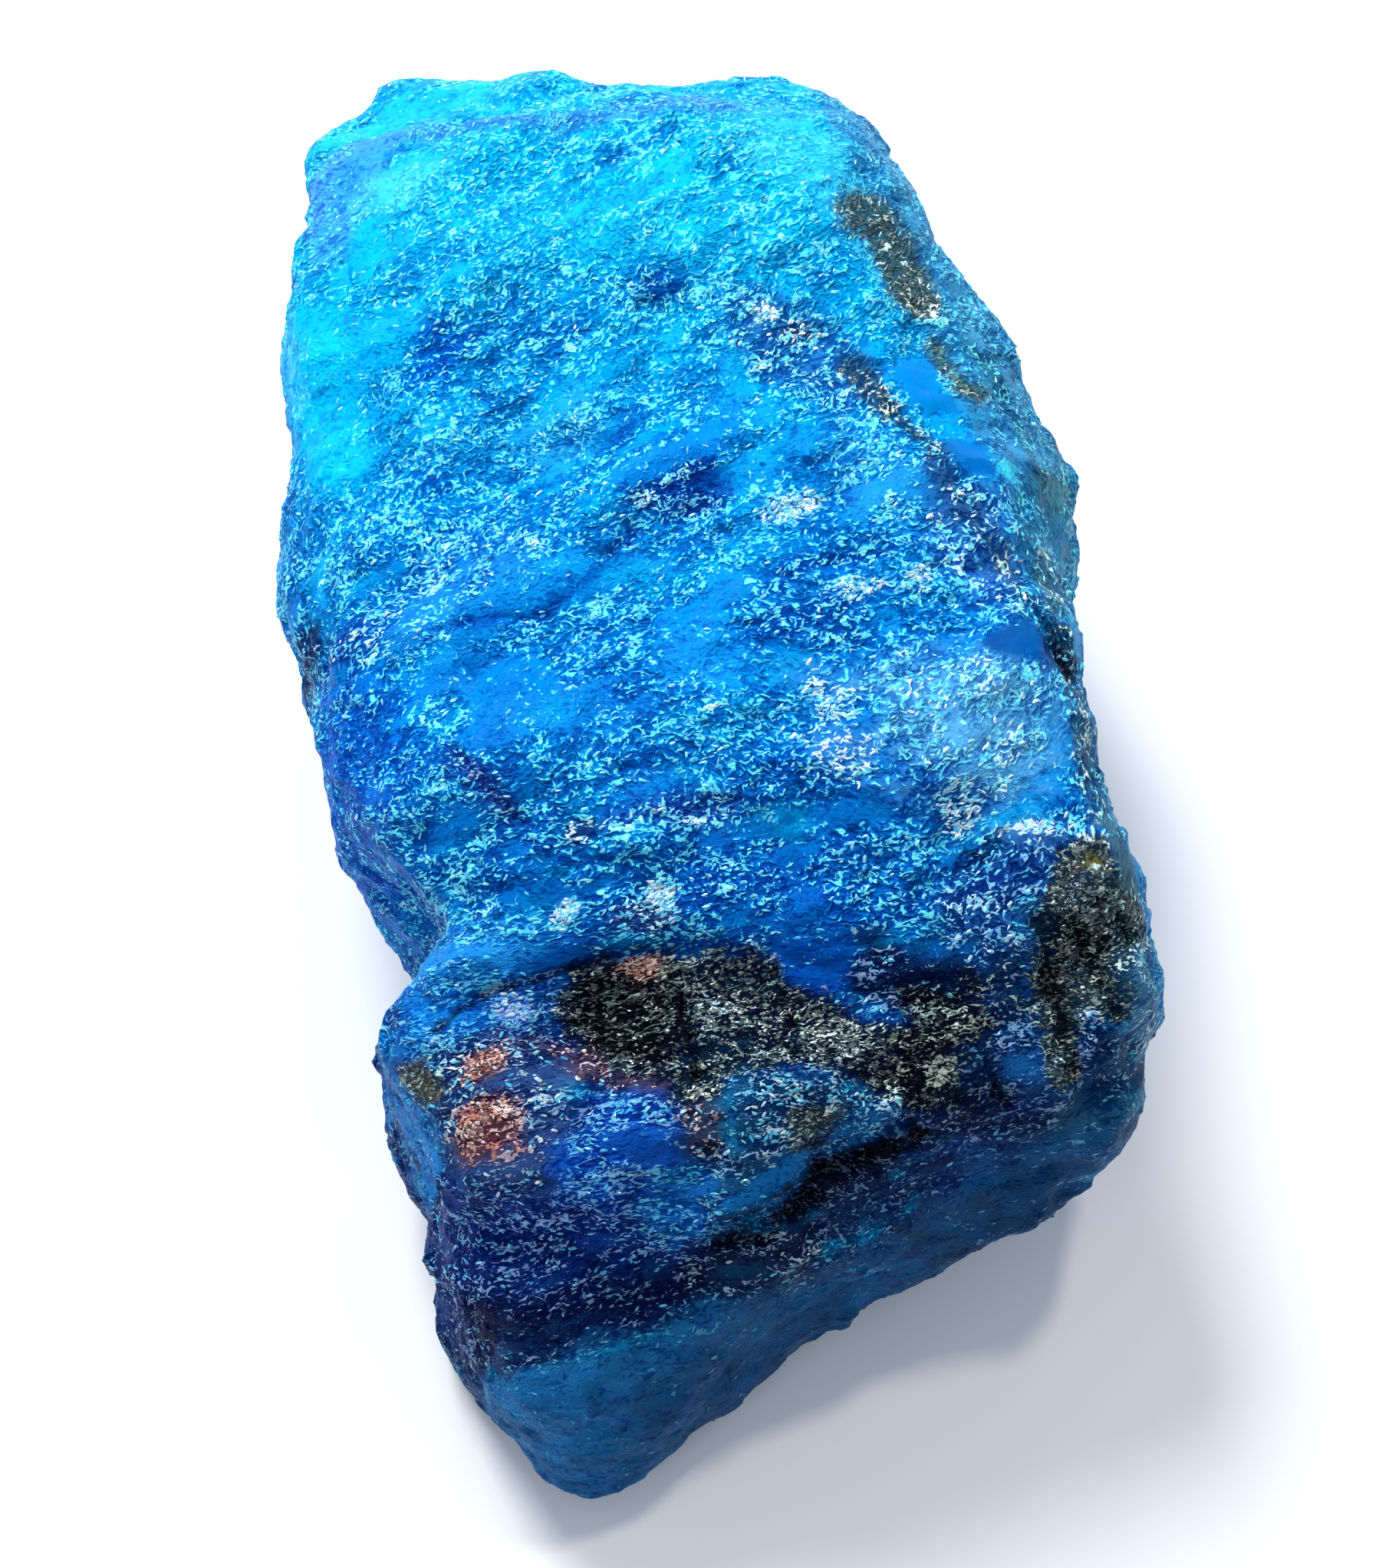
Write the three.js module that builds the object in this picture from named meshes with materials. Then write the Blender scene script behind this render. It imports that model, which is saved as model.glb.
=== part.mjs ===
// Rough sapphire: one broken lump of granular blue corundum, seamed with dark mica near its narrow end.
// Millimetres. +Z is up, +Y points to the broad pale end, +X to the bevelled long edge.
// The lump lies on its flat parting plane at z = 0, and the origin is under the middle of its box.

import * as THREE from 'three';
import { mergeVertices } from 'three/addons/utils/BufferGeometryUtils.js';
import { ImprovedNoise } from 'three/addons/math/ImprovedNoise.js';

// Driving dimensions
const length = 70.5;
const width = 44;
const height = 26.7;
const crest = { height: height - 1.2, x: 7, fallPerSquareMillimetre: 0.0046 };
const rimRadius = 2.4;
const bevelRadius = 1.2;
const breakRadius = 1.6;

// How finely the skin is divided across, along and up the lump, and how far points stray from the grid
const divisions = { across: 28, along: 44, up: 15 };
const stray = 0.32;

// Each ray starts from its own point of a small box inside the lump, as a share of the lump's size
const core = { across: 0.35, along: 0.5, up: 0.15, height: 10.5 };

// A ray looks for the skin in strides, then halves the last one
const stride = 0.4;
const halvings = 14;
const flatWithin = 0.01;

// Plan outline, anticlockwise from the narrow tip
const outline = [
  [-6.7, -36], [-3.5, -34.4], [0.6, -31.3], [4.9, -28.8], [9.7, -26.4], [14.9, -23.8], [20.2, -21.8],
  [21.5, -20], [21.2, -17.6], [21.2, -14.6], [19.6, -11.4], [17.1, -8], [16.6, -4.8], [16.9, 0.4],
  [15.7, 4.2], [16.3, 7.4], [17.7, 11.2], [16.5, 14.4], [12.2, 20.2], [8.6, 26.4], [7.4, 30.4],
  [6.2, 32.8], [3.2, 34.4], [-2.3, 34], [-6.7, 34.2], [-10.7, 33.6], [-15.2, 34.9], [-23.1, 34.4],
  [-22.1, 29.6], [-19, 25.4], [-21.5, 21.2], [-22.3, 19], [-21.7, 15], [-20.6, 12.6], [-21.6, 8],
  [-21, 4], [-19.3, -1.4], [-18.3, -7], [-13.9, -10.4], [-13.1, -12.4], [-17.1, -16.2], [-16.7, -18.8],
  [-15.5, -21.8], [-15.1, -24.8], [-13.3, -28.8], [-11.1, -32.4], [-8.5, -35.2],
];

// Bevels that slope down from a ridge line towards the rim: the drop per millimetre beyond the ridge
const bevels = [
  { from: [7, 26.6], to: [-10, 27.8], height: 24.4, slope: 0.95 },
  { from: [-10, 28], to: [-20.5, 21.4], height: 22.8, slope: 0.75 },
  { from: [17.8, -7], to: [14.6, 2.6], height: 24.2, slope: 1.0 },
  { from: [14.6, 2.6], to: [11.4, 11.4], height: 24.9, slope: 0.9 },
  { from: [11.4, 11.4], to: [5.2, 25], height: 24.9, slope: 0.8 },
];

// The broad face falls away towards the narrow end, where the wall leans back as it rises
const nearSlope = { y: -7, perMillimetre: 0.3 };
const nearWall = { leanStart: -10, leanEnd: -22, perMillimetre: 0.13 };

// Ledges run right across: the surface drops on the near side of each line
const ledges = [
  {
    line: [[-17, -15.2], [-8, -14.6], [-5.5, -13.3], [3.5, -13.4], [7, -15.4], [14, -14.6], [22, -7]],
    drop: 1.2,
    run: 1.2,
  },
  {
    line: [[-16, -22.4], [-9, -24.6], [-3, -26], [2, -25], [8, -22], [14, -19.4], [22, -14.5]],
    drop: 3.3,
    run: 1.7,
  },
];

// Lumps, ridges and hollows: centre, half sizes along and across, turn in degrees and rise
const lumps = [
  { at: [-9.5, 2.9], size: [6, 1.5], turn: 26, rise: 0.9 },
  { at: [-7.5, -0.6], size: [7, 1.6], turn: 24, rise: -0.7 },
  { at: [0.2, -1.2], size: [3.1, 2.7], turn: 10, rise: 0.8 },
  { at: [-3, 8.6], size: [4.4, 1.8], turn: 28, rise: 0.9 },
  { at: [-2.4, 5.6], size: [4, 1.2], turn: 28, rise: -0.8 },
  { at: [-13.5, 15], size: [3.2, 6.5], turn: -12, rise: 0.7 },
  { at: [-11, 8], size: [6.5, 2], turn: 32, rise: -0.7 },
  { at: [-4, 20], size: [9, 2.4], turn: 12, rise: 0.7 },
  { at: [2, 14], size: [6.5, 2], turn: 20, rise: -0.6 },
  { at: [7.5, 6.5], size: [6, 1.7], turn: 30, rise: 0.8 },
  { at: [9, 1], size: [7, 1.3], turn: 24, rise: -0.8 },
  { at: [12.6, -2.6], size: [4.5, 2.2], turn: 34, rise: 0.8 },
  { at: [6, -6.2], size: [5.5, 2], turn: 18, rise: 0.9 },
  { at: [-12, -6.5], size: [5, 2.6], turn: 14, rise: 0.8 },
  { at: [-6, -10.6], size: [6, 1.4], turn: 8, rise: 0.7 },
  { at: [-0.5, -16], size: [6.5, 2.3], turn: -4, rise: -0.8 },
  { at: [-10.6, -20], size: [3.4, 3], turn: -20, rise: 1.3 },
  { at: [-4.2, -21.6], size: [3.2, 2.8], turn: 0, rise: 0.9 },
  { at: [3.4, -20.2], size: [5, 2.5], turn: 22, rise: 1.8 },
  { at: [-6.6, -17.8], size: [2.6, 1.4], turn: 60, rise: -0.9 },
  { at: [14, -16.4], size: [4, 3], turn: 40, rise: -0.9 },
  { at: [18.4, -12], size: [2, 4.5], turn: 10, rise: 1.1 },
  { at: [-6, -28], size: [6, 1.4], turn: 14, rise: 0.8 },
  { at: [8.4, 17.6], size: [1.8, 5], turn: 26, rise: -0.9 },
];

// Swellings and hollows of the walls, so that the notches in the plan don't run straight down to the base
const swellings = [
  { at: [-14, -11.4, 0], radius: 6, rise: 2 },
  { at: [-22, 12, 7], radius: 5.5, rise: 1.1 },
  { at: [-21, -1, 15], radius: 4.5, rise: -1 },
  { at: [-18, -22, 8], radius: 4, rise: -0.8 },
  { at: [17.5, 7, 9], radius: 6, rise: 1.1 },
  { at: [19, -6, 7], radius: 5.5, rise: -1.4 },
  { at: [6, 34, 6], radius: 6, rise: 1.3 },
  { at: [-12, 35, 13], radius: 4.5, rise: -1.1 },
  { at: [13, -25, 7], radius: 5, rise: 0.7 },
  { at: [2, -31, 10], radius: 4, rise: -0.8 },
];

// Old breaks: a point each passes through, the way it faces, and how steeply it faces down
const breaks = [
  { through: [-22, 8, 11], facing: 176, down: 38 },
  { through: [-18.5, -18, 9], facing: 182, down: 30 },
  { through: [-18, 29, 12], facing: 128, down: 44 },
  { through: [0, 34.5, 13], facing: 86, down: 34 },
  { through: [13, 25, 11], facing: 28, down: 47 },
  { through: [19, 2, 13], facing: 8, down: 30 },
  { through: [21, -13, 10], facing: -22, down: 46 },
  { through: [4, -30.8, 2], facing: -62, down: 40 },
  { through: [-14, -34, 3], facing: -146, down: 46 },
  { through: [-6.8, -31.6, 11.4], facing: -78, down: -34 },
  { through: [-20.8, -5, 16.5], facing: 192, down: -38 },
];

// The grain of the stone: streaks that climb to the right across the broad face
const grain = { turn: 24, stretch: 2.6 };
const coarseGrain = { size: 7.5, depth: 0.55, apart: 0 };
const fineGrain = { size: 2.8, depth: 0.3, apart: 20 };

// Small flat breaks all over: how far apart they lie and how far each may tilt
const chips = { size: 5.2, tilt: 0.32, seed: 7, seedSteps: [131, 1709, 15731], drawStep: 977 };

const noise = new ImprovedNoise();
const { clamp, degToRad, smoothstep, seededRandom } = THREE.MathUtils;

function smoothMax(a, b, radius) {
  const overlap = Math.max(radius - Math.abs(a - b), 0) / radius;
  return Math.max(a, b) + overlap * overlap * radius / 4;
}

function smoothMin(a, b, radius) {
  return -smoothMax(-a, -b, radius);
}

// Distance to the plan outline, negative inside it
function outlineDistance(x, y) {
  let nearest = Infinity;
  let inside = false;
  for (let i = 0; i < outline.length; i += 1) {
    const [ax, ay] = outline[i];
    const [bx, by] = outline[(i + 1) % outline.length];
    const ex = bx - ax;
    const ey = by - ay;
    const t = clamp(((x - ax) * ex + (y - ay) * ey) / (ex * ex + ey * ey), 0, 1);
    nearest = Math.min(nearest, Math.hypot(x - ax - ex * t, y - ay - ey * t));
    if ((ay > y) !== (by > y) && x < ax + ex * (y - ay) / ey) {
      inside = !inside;
    }
  }
  return inside ? -nearest : nearest;
}

// How far a point lies to the right of a line seen from its start, the outer side of a bevel's ridge
function beyondLine(x, y, from, to) {
  const ex = to[0] - from[0];
  const ey = to[1] - from[1];
  return ((x - from[0]) * ey - (y - from[1]) * ex) / Math.hypot(ex, ey);
}

// Height of a broken line drawn across the lump, read at x
function lineAt(line, x) {
  const next = line.findIndex((point) => point[0] > x);
  if (next < 1) {
    return next === 0 ? line[0][1] : line[line.length - 1][1];
  }
  const [ax, ay] = line[next - 1];
  const [bx, by] = line[next];
  return ay + (by - ay) * (x - ax) / (bx - ax);
}

function lumpRise(x, y, lump) {
  const angle = degToRad(lump.turn);
  const dx = x - lump.at[0];
  const dy = y - lump.at[1];
  const along = (dx * Math.cos(angle) + dy * Math.sin(angle)) / lump.size[0];
  const across = (dy * Math.cos(angle) - dx * Math.sin(angle)) / lump.size[1];
  return lump.rise * Math.exp(-(along * along + across * across));
}

// The upper surface over any point of the plan
function topHeight(x, y) {
  let level = crest.height - crest.fallPerSquareMillimetre * (x - crest.x) ** 2;
  level -= nearSlope.perMillimetre * Math.max(nearSlope.y - y, 0);
  for (const ledge of ledges) {
    level -= ledge.drop * smoothstep(lineAt(ledge.line, x) - y, 0, ledge.run);
  }
  for (const bevel of bevels) {
    const slant = bevel.height - bevel.slope * beyondLine(x, y, bevel.from, bevel.to);
    level = smoothMin(level, slant, bevelRadius);
  }
  for (const lump of lumps) {
    level += lumpRise(x, y, lump);
  }
  return level;
}

function beyondBreak(point, flat) {
  const facing = degToRad(flat.facing);
  const down = degToRad(flat.down);
  return (point.x - flat.through[0]) * Math.cos(facing) * Math.cos(down)
    + (point.y - flat.through[1]) * Math.sin(facing) * Math.cos(down)
    - (point.z - flat.through[2]) * Math.sin(down);
}

function swell(point, swelling) {
  const [x, y, z] = swelling.at;
  const reach = Math.hypot(point.x - x, point.y - y, point.z - z) / swelling.radius;
  return swelling.rise * Math.exp(-reach * reach);
}

// Streaky relief: soft noise drawn out along the grain
function grainRelief(point) {
  const angle = degToRad(grain.turn);
  const along = (point.x * Math.cos(angle) + point.y * Math.sin(angle)) / grain.stretch;
  const across = point.y * Math.cos(angle) - point.x * Math.sin(angle);
  const streaks = (scale) => {
    const { size, depth, apart } = scale;
    return depth * noise.noise(along / size + apart, across / size, point.z / size);
  };
  return streaks(coarseGrain) + streaks(fineGrain);
}

// Chipped relief: each cell around a scattered point is one small flat break with its own tilt
function chipRelief(point) {
  const draw = (seed, turn) => seededRandom(seed + turn * chips.drawStep);
  const cell = point.toArray().map((value) => Math.floor(value / chips.size));
  let nearest = Infinity;
  let relief = 0;
  for (let i = -1; i <= 1; i += 1) {
    for (let j = -1; j <= 1; j += 1) {
      for (let k = -1; k <= 1; k += 1) {
        const corner = [cell[0] + i, cell[1] + j, cell[2] + k];
        const seed = corner.reduce((sum, value, axis) => sum + value * chips.seedSteps[axis], chips.seed);
        const middle = corner.map((value, axis) => (value + draw(seed, axis)) * chips.size);
        const away = point.clone().sub(new THREE.Vector3(...middle));
        if (away.length() < nearest) {
          nearest = away.length();
          const tilt = new THREE.Vector3(draw(seed, 3) - 0.5, draw(seed, 4) - 0.5, draw(seed, 5) - 0.5);
          relief = away.dot(tilt) * chips.tilt;
        }
      }
    }
  }
  return relief;
}

// Negative inside the lump, positive outside
function stoneField(point) {
  const top = point.z - topHeight(point.x, point.y);
  const lean = nearWall.perMillimetre * smoothstep(-point.y, -nearWall.leanStart, -nearWall.leanEnd);
  let side = outlineDistance(point.x, point.y) + lean * point.z;
  for (const swelling of swellings) {
    side -= swell(point, swelling);
  }
  let field = smoothMax(top, side, rimRadius);
  for (const flat of breaks) {
    field = smoothMax(field, beyondBreak(point, flat), breakRadius);
  }
  field -= grainRelief(point) + chipRelief(point);
  return Math.max(field, -point.z);
}

// First point where a ray that starts inside the core leaves the lump
function skinPoint(start, direction) {
  const point = new THREE.Vector3();
  const at = (reach) => stoneField(point.copy(start).addScaledVector(direction, reach));
  let outer = stride;
  while (at(outer) < 0) {
    outer += stride;
  }
  let inner = outer - stride;
  for (let i = 0; i < halvings; i += 1) {
    const middle = (inner + outer) / 2;
    if (at(middle) < 0) {
      inner = middle;
    } else {
      outer = middle;
    }
  }
  at(inner);
  if (Math.abs(point.z) < flatWithin) {
    point.z = 0;
  }
  return point;
}

// A gridded box whose every point is sent out from the core to the skin of the lump
function roughSapphireGeometry() {
  const { across, along, up } = divisions;
  const grid = new THREE.BoxGeometry(width, length, height, across, along, up);
  grid.deleteAttribute('normal');
  grid.deleteAttribute('uv');
  const skin = mergeVertices(grid);
  const places = skin.attributes.position;
  const furthest = 2 * stray * length / along;
  for (let i = 0; i < places.count; i += 1) {
    const corner = new THREE.Vector3().fromBufferAttribute(places, i);
    corner.x += (seededRandom(i * 3 + 1) - 0.5) * furthest;
    corner.y += (seededRandom(i * 3 + 2) - 0.5) * furthest;
    corner.z += (seededRandom(i * 3 + 3) - 0.5) * furthest;
    const start = new THREE.Vector3(corner.x * core.across, corner.y * core.along, corner.z * core.up);
    const direction = corner.sub(start).normalize();
    start.z += core.height;
    const place = skinPoint(start, direction);
    places.setXYZ(i, place.x, place.y, place.z);
  }
  skin.computeBoundingBox();
  const middle = skin.boundingBox.getCenter(new THREE.Vector3());
  const size = skin.boundingBox.getSize(new THREE.Vector3());
  skin.translate(-middle.x, -middle.y, 0);
  skin.scale(width / size.x, length / size.y, height / size.z);
  skin.computeVertexNormals();
  return skin;
}

const sapphireBlue = new THREE.MeshStandardMaterial({ color: 0x0a6fd6, roughness: 0.38, metalness: 0 });
const roughSapphire = new THREE.Mesh(roughSapphireGeometry(), sapphireBlue);
roughSapphire.name = 'rough_sapphire';

const group = new THREE.Group();
group.add(roughSapphire);

export default group;
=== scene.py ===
import math

import bpy
import numpy as np
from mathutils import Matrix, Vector


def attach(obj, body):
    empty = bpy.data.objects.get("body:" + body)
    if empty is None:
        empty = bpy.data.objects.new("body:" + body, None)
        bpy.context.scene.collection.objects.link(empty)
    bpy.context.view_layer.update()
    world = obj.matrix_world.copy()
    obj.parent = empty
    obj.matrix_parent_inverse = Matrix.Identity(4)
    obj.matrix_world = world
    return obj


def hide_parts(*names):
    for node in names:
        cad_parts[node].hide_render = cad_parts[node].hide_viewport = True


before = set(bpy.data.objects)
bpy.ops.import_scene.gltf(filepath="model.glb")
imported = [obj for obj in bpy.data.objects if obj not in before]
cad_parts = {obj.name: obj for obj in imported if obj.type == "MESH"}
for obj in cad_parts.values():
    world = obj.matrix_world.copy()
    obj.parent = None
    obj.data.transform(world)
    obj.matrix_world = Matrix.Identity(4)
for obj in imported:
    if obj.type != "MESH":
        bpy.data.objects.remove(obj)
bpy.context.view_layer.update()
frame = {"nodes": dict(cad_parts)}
mm = 0.001
print("frame loaded:", ", ".join(frame["nodes"]))


# measures and noise work on arrays of points in millimetres

def paint(red, green, blue):
    # a screen colour, 0 to 255, as the linear colour that shaders use
    share = np.array([red, green, blue]) / 255
    return np.where(share <= 0.04045, share / 12.92, ((share + 0.055) / 1.055) ** 2.4)


def smooth(value, low, high):
    share = np.clip((value - low) / (high - low), 0, 1)
    return share * share * (3 - 2 * share)


def mix(first, second, share):
    if np.ndim(first) > 1:
        share = share[:, None]
    return first + (second - first) * share


def alongStops(drift, stops):
    # the number or colour at each place between stops
    at, values = zip(*sorted(stops, key=lambda stop: stop[0]))
    if np.ndim(values) == 1:
        return np.interp(drift, at, values)
    return np.stack([np.interp(drift, at, channel) for channel in np.transpose(values)], axis=1)


hashSteps = {"x": 73856093, "y": 19349663, "z": 83492791, "seed": 2654435, "stir": 1274126177}


def chanceAt(cells, seed):
    # a repeatable number from 0 to 1 for each whole-number cell
    steps = np.array([hashSteps["x"], hashSteps["y"], hashSteps["z"]], dtype=np.int64)
    mixed = cells.astype(np.int64) @ steps + seed * hashSteps["seed"]
    mixed = (mixed ^ (mixed >> 13)) * hashSteps["stir"]
    return ((mixed ^ (mixed >> 16)) & 0xFFFF) / 0xFFFF


def softNoise(points, size, seed):
    # smooth noise from -1 to 1 with features about size across
    place = points / size
    cell = np.floor(place)
    part = place - cell
    part = part * part * (3 - 2 * part)
    total = np.zeros(len(points))
    for corner in np.ndindex(2, 2, 2):
        weight = np.prod(np.where(corner, part, 1 - part), axis=1)
        total += weight * chanceAt(cell + np.array(corner), seed)
    return total * 2 - 1


def layered(points, flow, layers):
    # adds up noises; each has a share, size, seed and stretch along the grain, 0 if it's even
    total = 0
    for share, size, seed, stretch in layers:
        total = total + share * softNoise(flow / (stretch, 1, 1) if stretch else points, size, seed)
    return total


def alongGrain(points, turn, stretch):
    # turns the points so that the grain runs along x, and draws them out along it
    angle = np.radians(turn)
    along = points[:, 0] * np.cos(angle) + points[:, 1] * np.sin(angle)
    across = points[:, 1] * np.cos(angle) - points[:, 0] * np.sin(angle)
    return np.stack([along / stretch, across, points[:, 2]], axis=1)


def shards(points, size, seed):
    # each cell round a scattered point is one small flat break with a tilt of its own
    place = points / size
    cell = np.floor(place)
    nearest = np.full(len(points), np.inf)
    relief = np.zeros(len(points))
    for step in np.ndindex(3, 3, 3):
        corner = cell + np.array(step) - 1
        middle = corner + np.stack([chanceAt(corner, seed + axis) for axis in range(3)], axis=1)
        away = place - middle
        distance = (away ** 2).sum(axis=1)
        tilt = np.stack([chanceAt(corner, seed + axis) - 0.5 for axis in range(3, 6)], axis=1)
        closer = distance < nearest
        nearest = np.where(closer, distance, nearest)
        relief = np.where(closer, (away * tilt).sum(axis=1), relief)
    return relief


def turnAt(points, way):
    # the grain's turn in degrees, which changes from the near end to the far one
    return mix(way["nearTurn"], way["farTurn"], smooth(points[:, 1], way["nearY"], way["farY"]))


# what is on the skin, placed on the stone's plan
skinLook = {
    # the clean blue from the far, broad end to the near, narrow one
    "alongStone": [
        (34, paint(14, 188, 244)),
        (25, paint(2, 190, 244)),
        (17, paint(0, 174, 238)),
        (7, paint(0, 143, 222)),
        (-5, paint(0, 125, 208)),
        (-12, paint(0, 105, 191)),
        (-18, paint(4, 68, 136)),
        (-25, paint(6, 42, 88)),
        (-36, paint(12, 84, 132)),
    ],
    "shineStops": [(-25, 0.3), (-18, 0.42), (-12, 0.9), (18, 1.0), (30, 0.72)],  # the flecks' brightness
    "lightStreak": paint(0, 186, 248),
    "darkStreak": paint(0, 78, 180),
    "streak": 0.55,                 # how far the streaks along the grain go to these
    "streakEase": (0.05, 0.75),
    # calm: smooth and clear; flecks: share of pale grain, partly painted glints; shine: how bright it is,
    # times the stops above, and low as painted shade in cracks; white: how white it is, painted white glints;
    # mica: black mica; copper: coppery grain
    "plain": {"calm": 0.15, "flecks": 0.5, "shine": 1.0, "white": 0.0, "mica": 0.0, "copper": 0.0},
    "patchTint": 0.85,              # how far a patch's own tint covers the blue
    "lineTint": 0.9,
    "mottle": 0.2,                  # how uneven that tint is where a patch doesn't say
    "upward": (-0.35, 0.1),         # patches and lines fade out where the walls turn under
    "downward": (0.1, 0.75),        # and what lies below fades in
    "under": {"tint": paint(28, 82, 128), "share": 0.75, "calm": 0.55, "flecks": 0.3},
    "clearEase": (-0.02, 0.34),     # clear gaps drift between drifts of flecks
    "clearCalm": 0.74,
    "fleckDrift": 0.42,
    # noises: share, size in millimetres, seed and stretch along the grain
    "wander": [(1.8, 7, 21, 0)],    # of the stops along the stone
    "ragged": [(0.34, 1.3, 31, 2.6), (0.26, 0.6, 32, 2.6), (0.2, 0.35, 33, 0)],  # frays all edges
    "streaks": [(0.55, 2.0, 41, 1.8), (0.45, 0.8, 42, 1.8)],
    "drifts": [(0.55, 2.0, 43, 1.8), (0.45, 0.9, 44, 1.8)],
    "mottles": [(0.6, 1.5, 45, 1.7), (0.4, 0.7, 46, 0)],
}


def placesOf(text):
    # pairs of numbers, such as x and y in millimetres on the plan
    return [tuple(float(number) for number in pair.split()) for pair in text.split(",")]


def side(way, line, tint, **looks):
    # a whole side of the stone, beyond a line
    return {"side": way, "line": placesOf(line), "tint": paint(*tint), **looks}


def area(outline, tint, **looks):
    return {"outline": placesOf(outline), "tint": paint(*tint), **looks}


def oval(at, size, turn, tint, **looks):
    return {"at": at, "size": size, "turn": turn, "tint": paint(*tint), **looks}


def trace(path, tint, **looks):
    # a narrow line: cracks and the foot of a step are dark and deep, their dark tint and low shine painted
    # shade; a ridge is light, a painted highlight along it
    return {"path": placesOf(path), "tint": paint(*tint), **looks}


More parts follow.
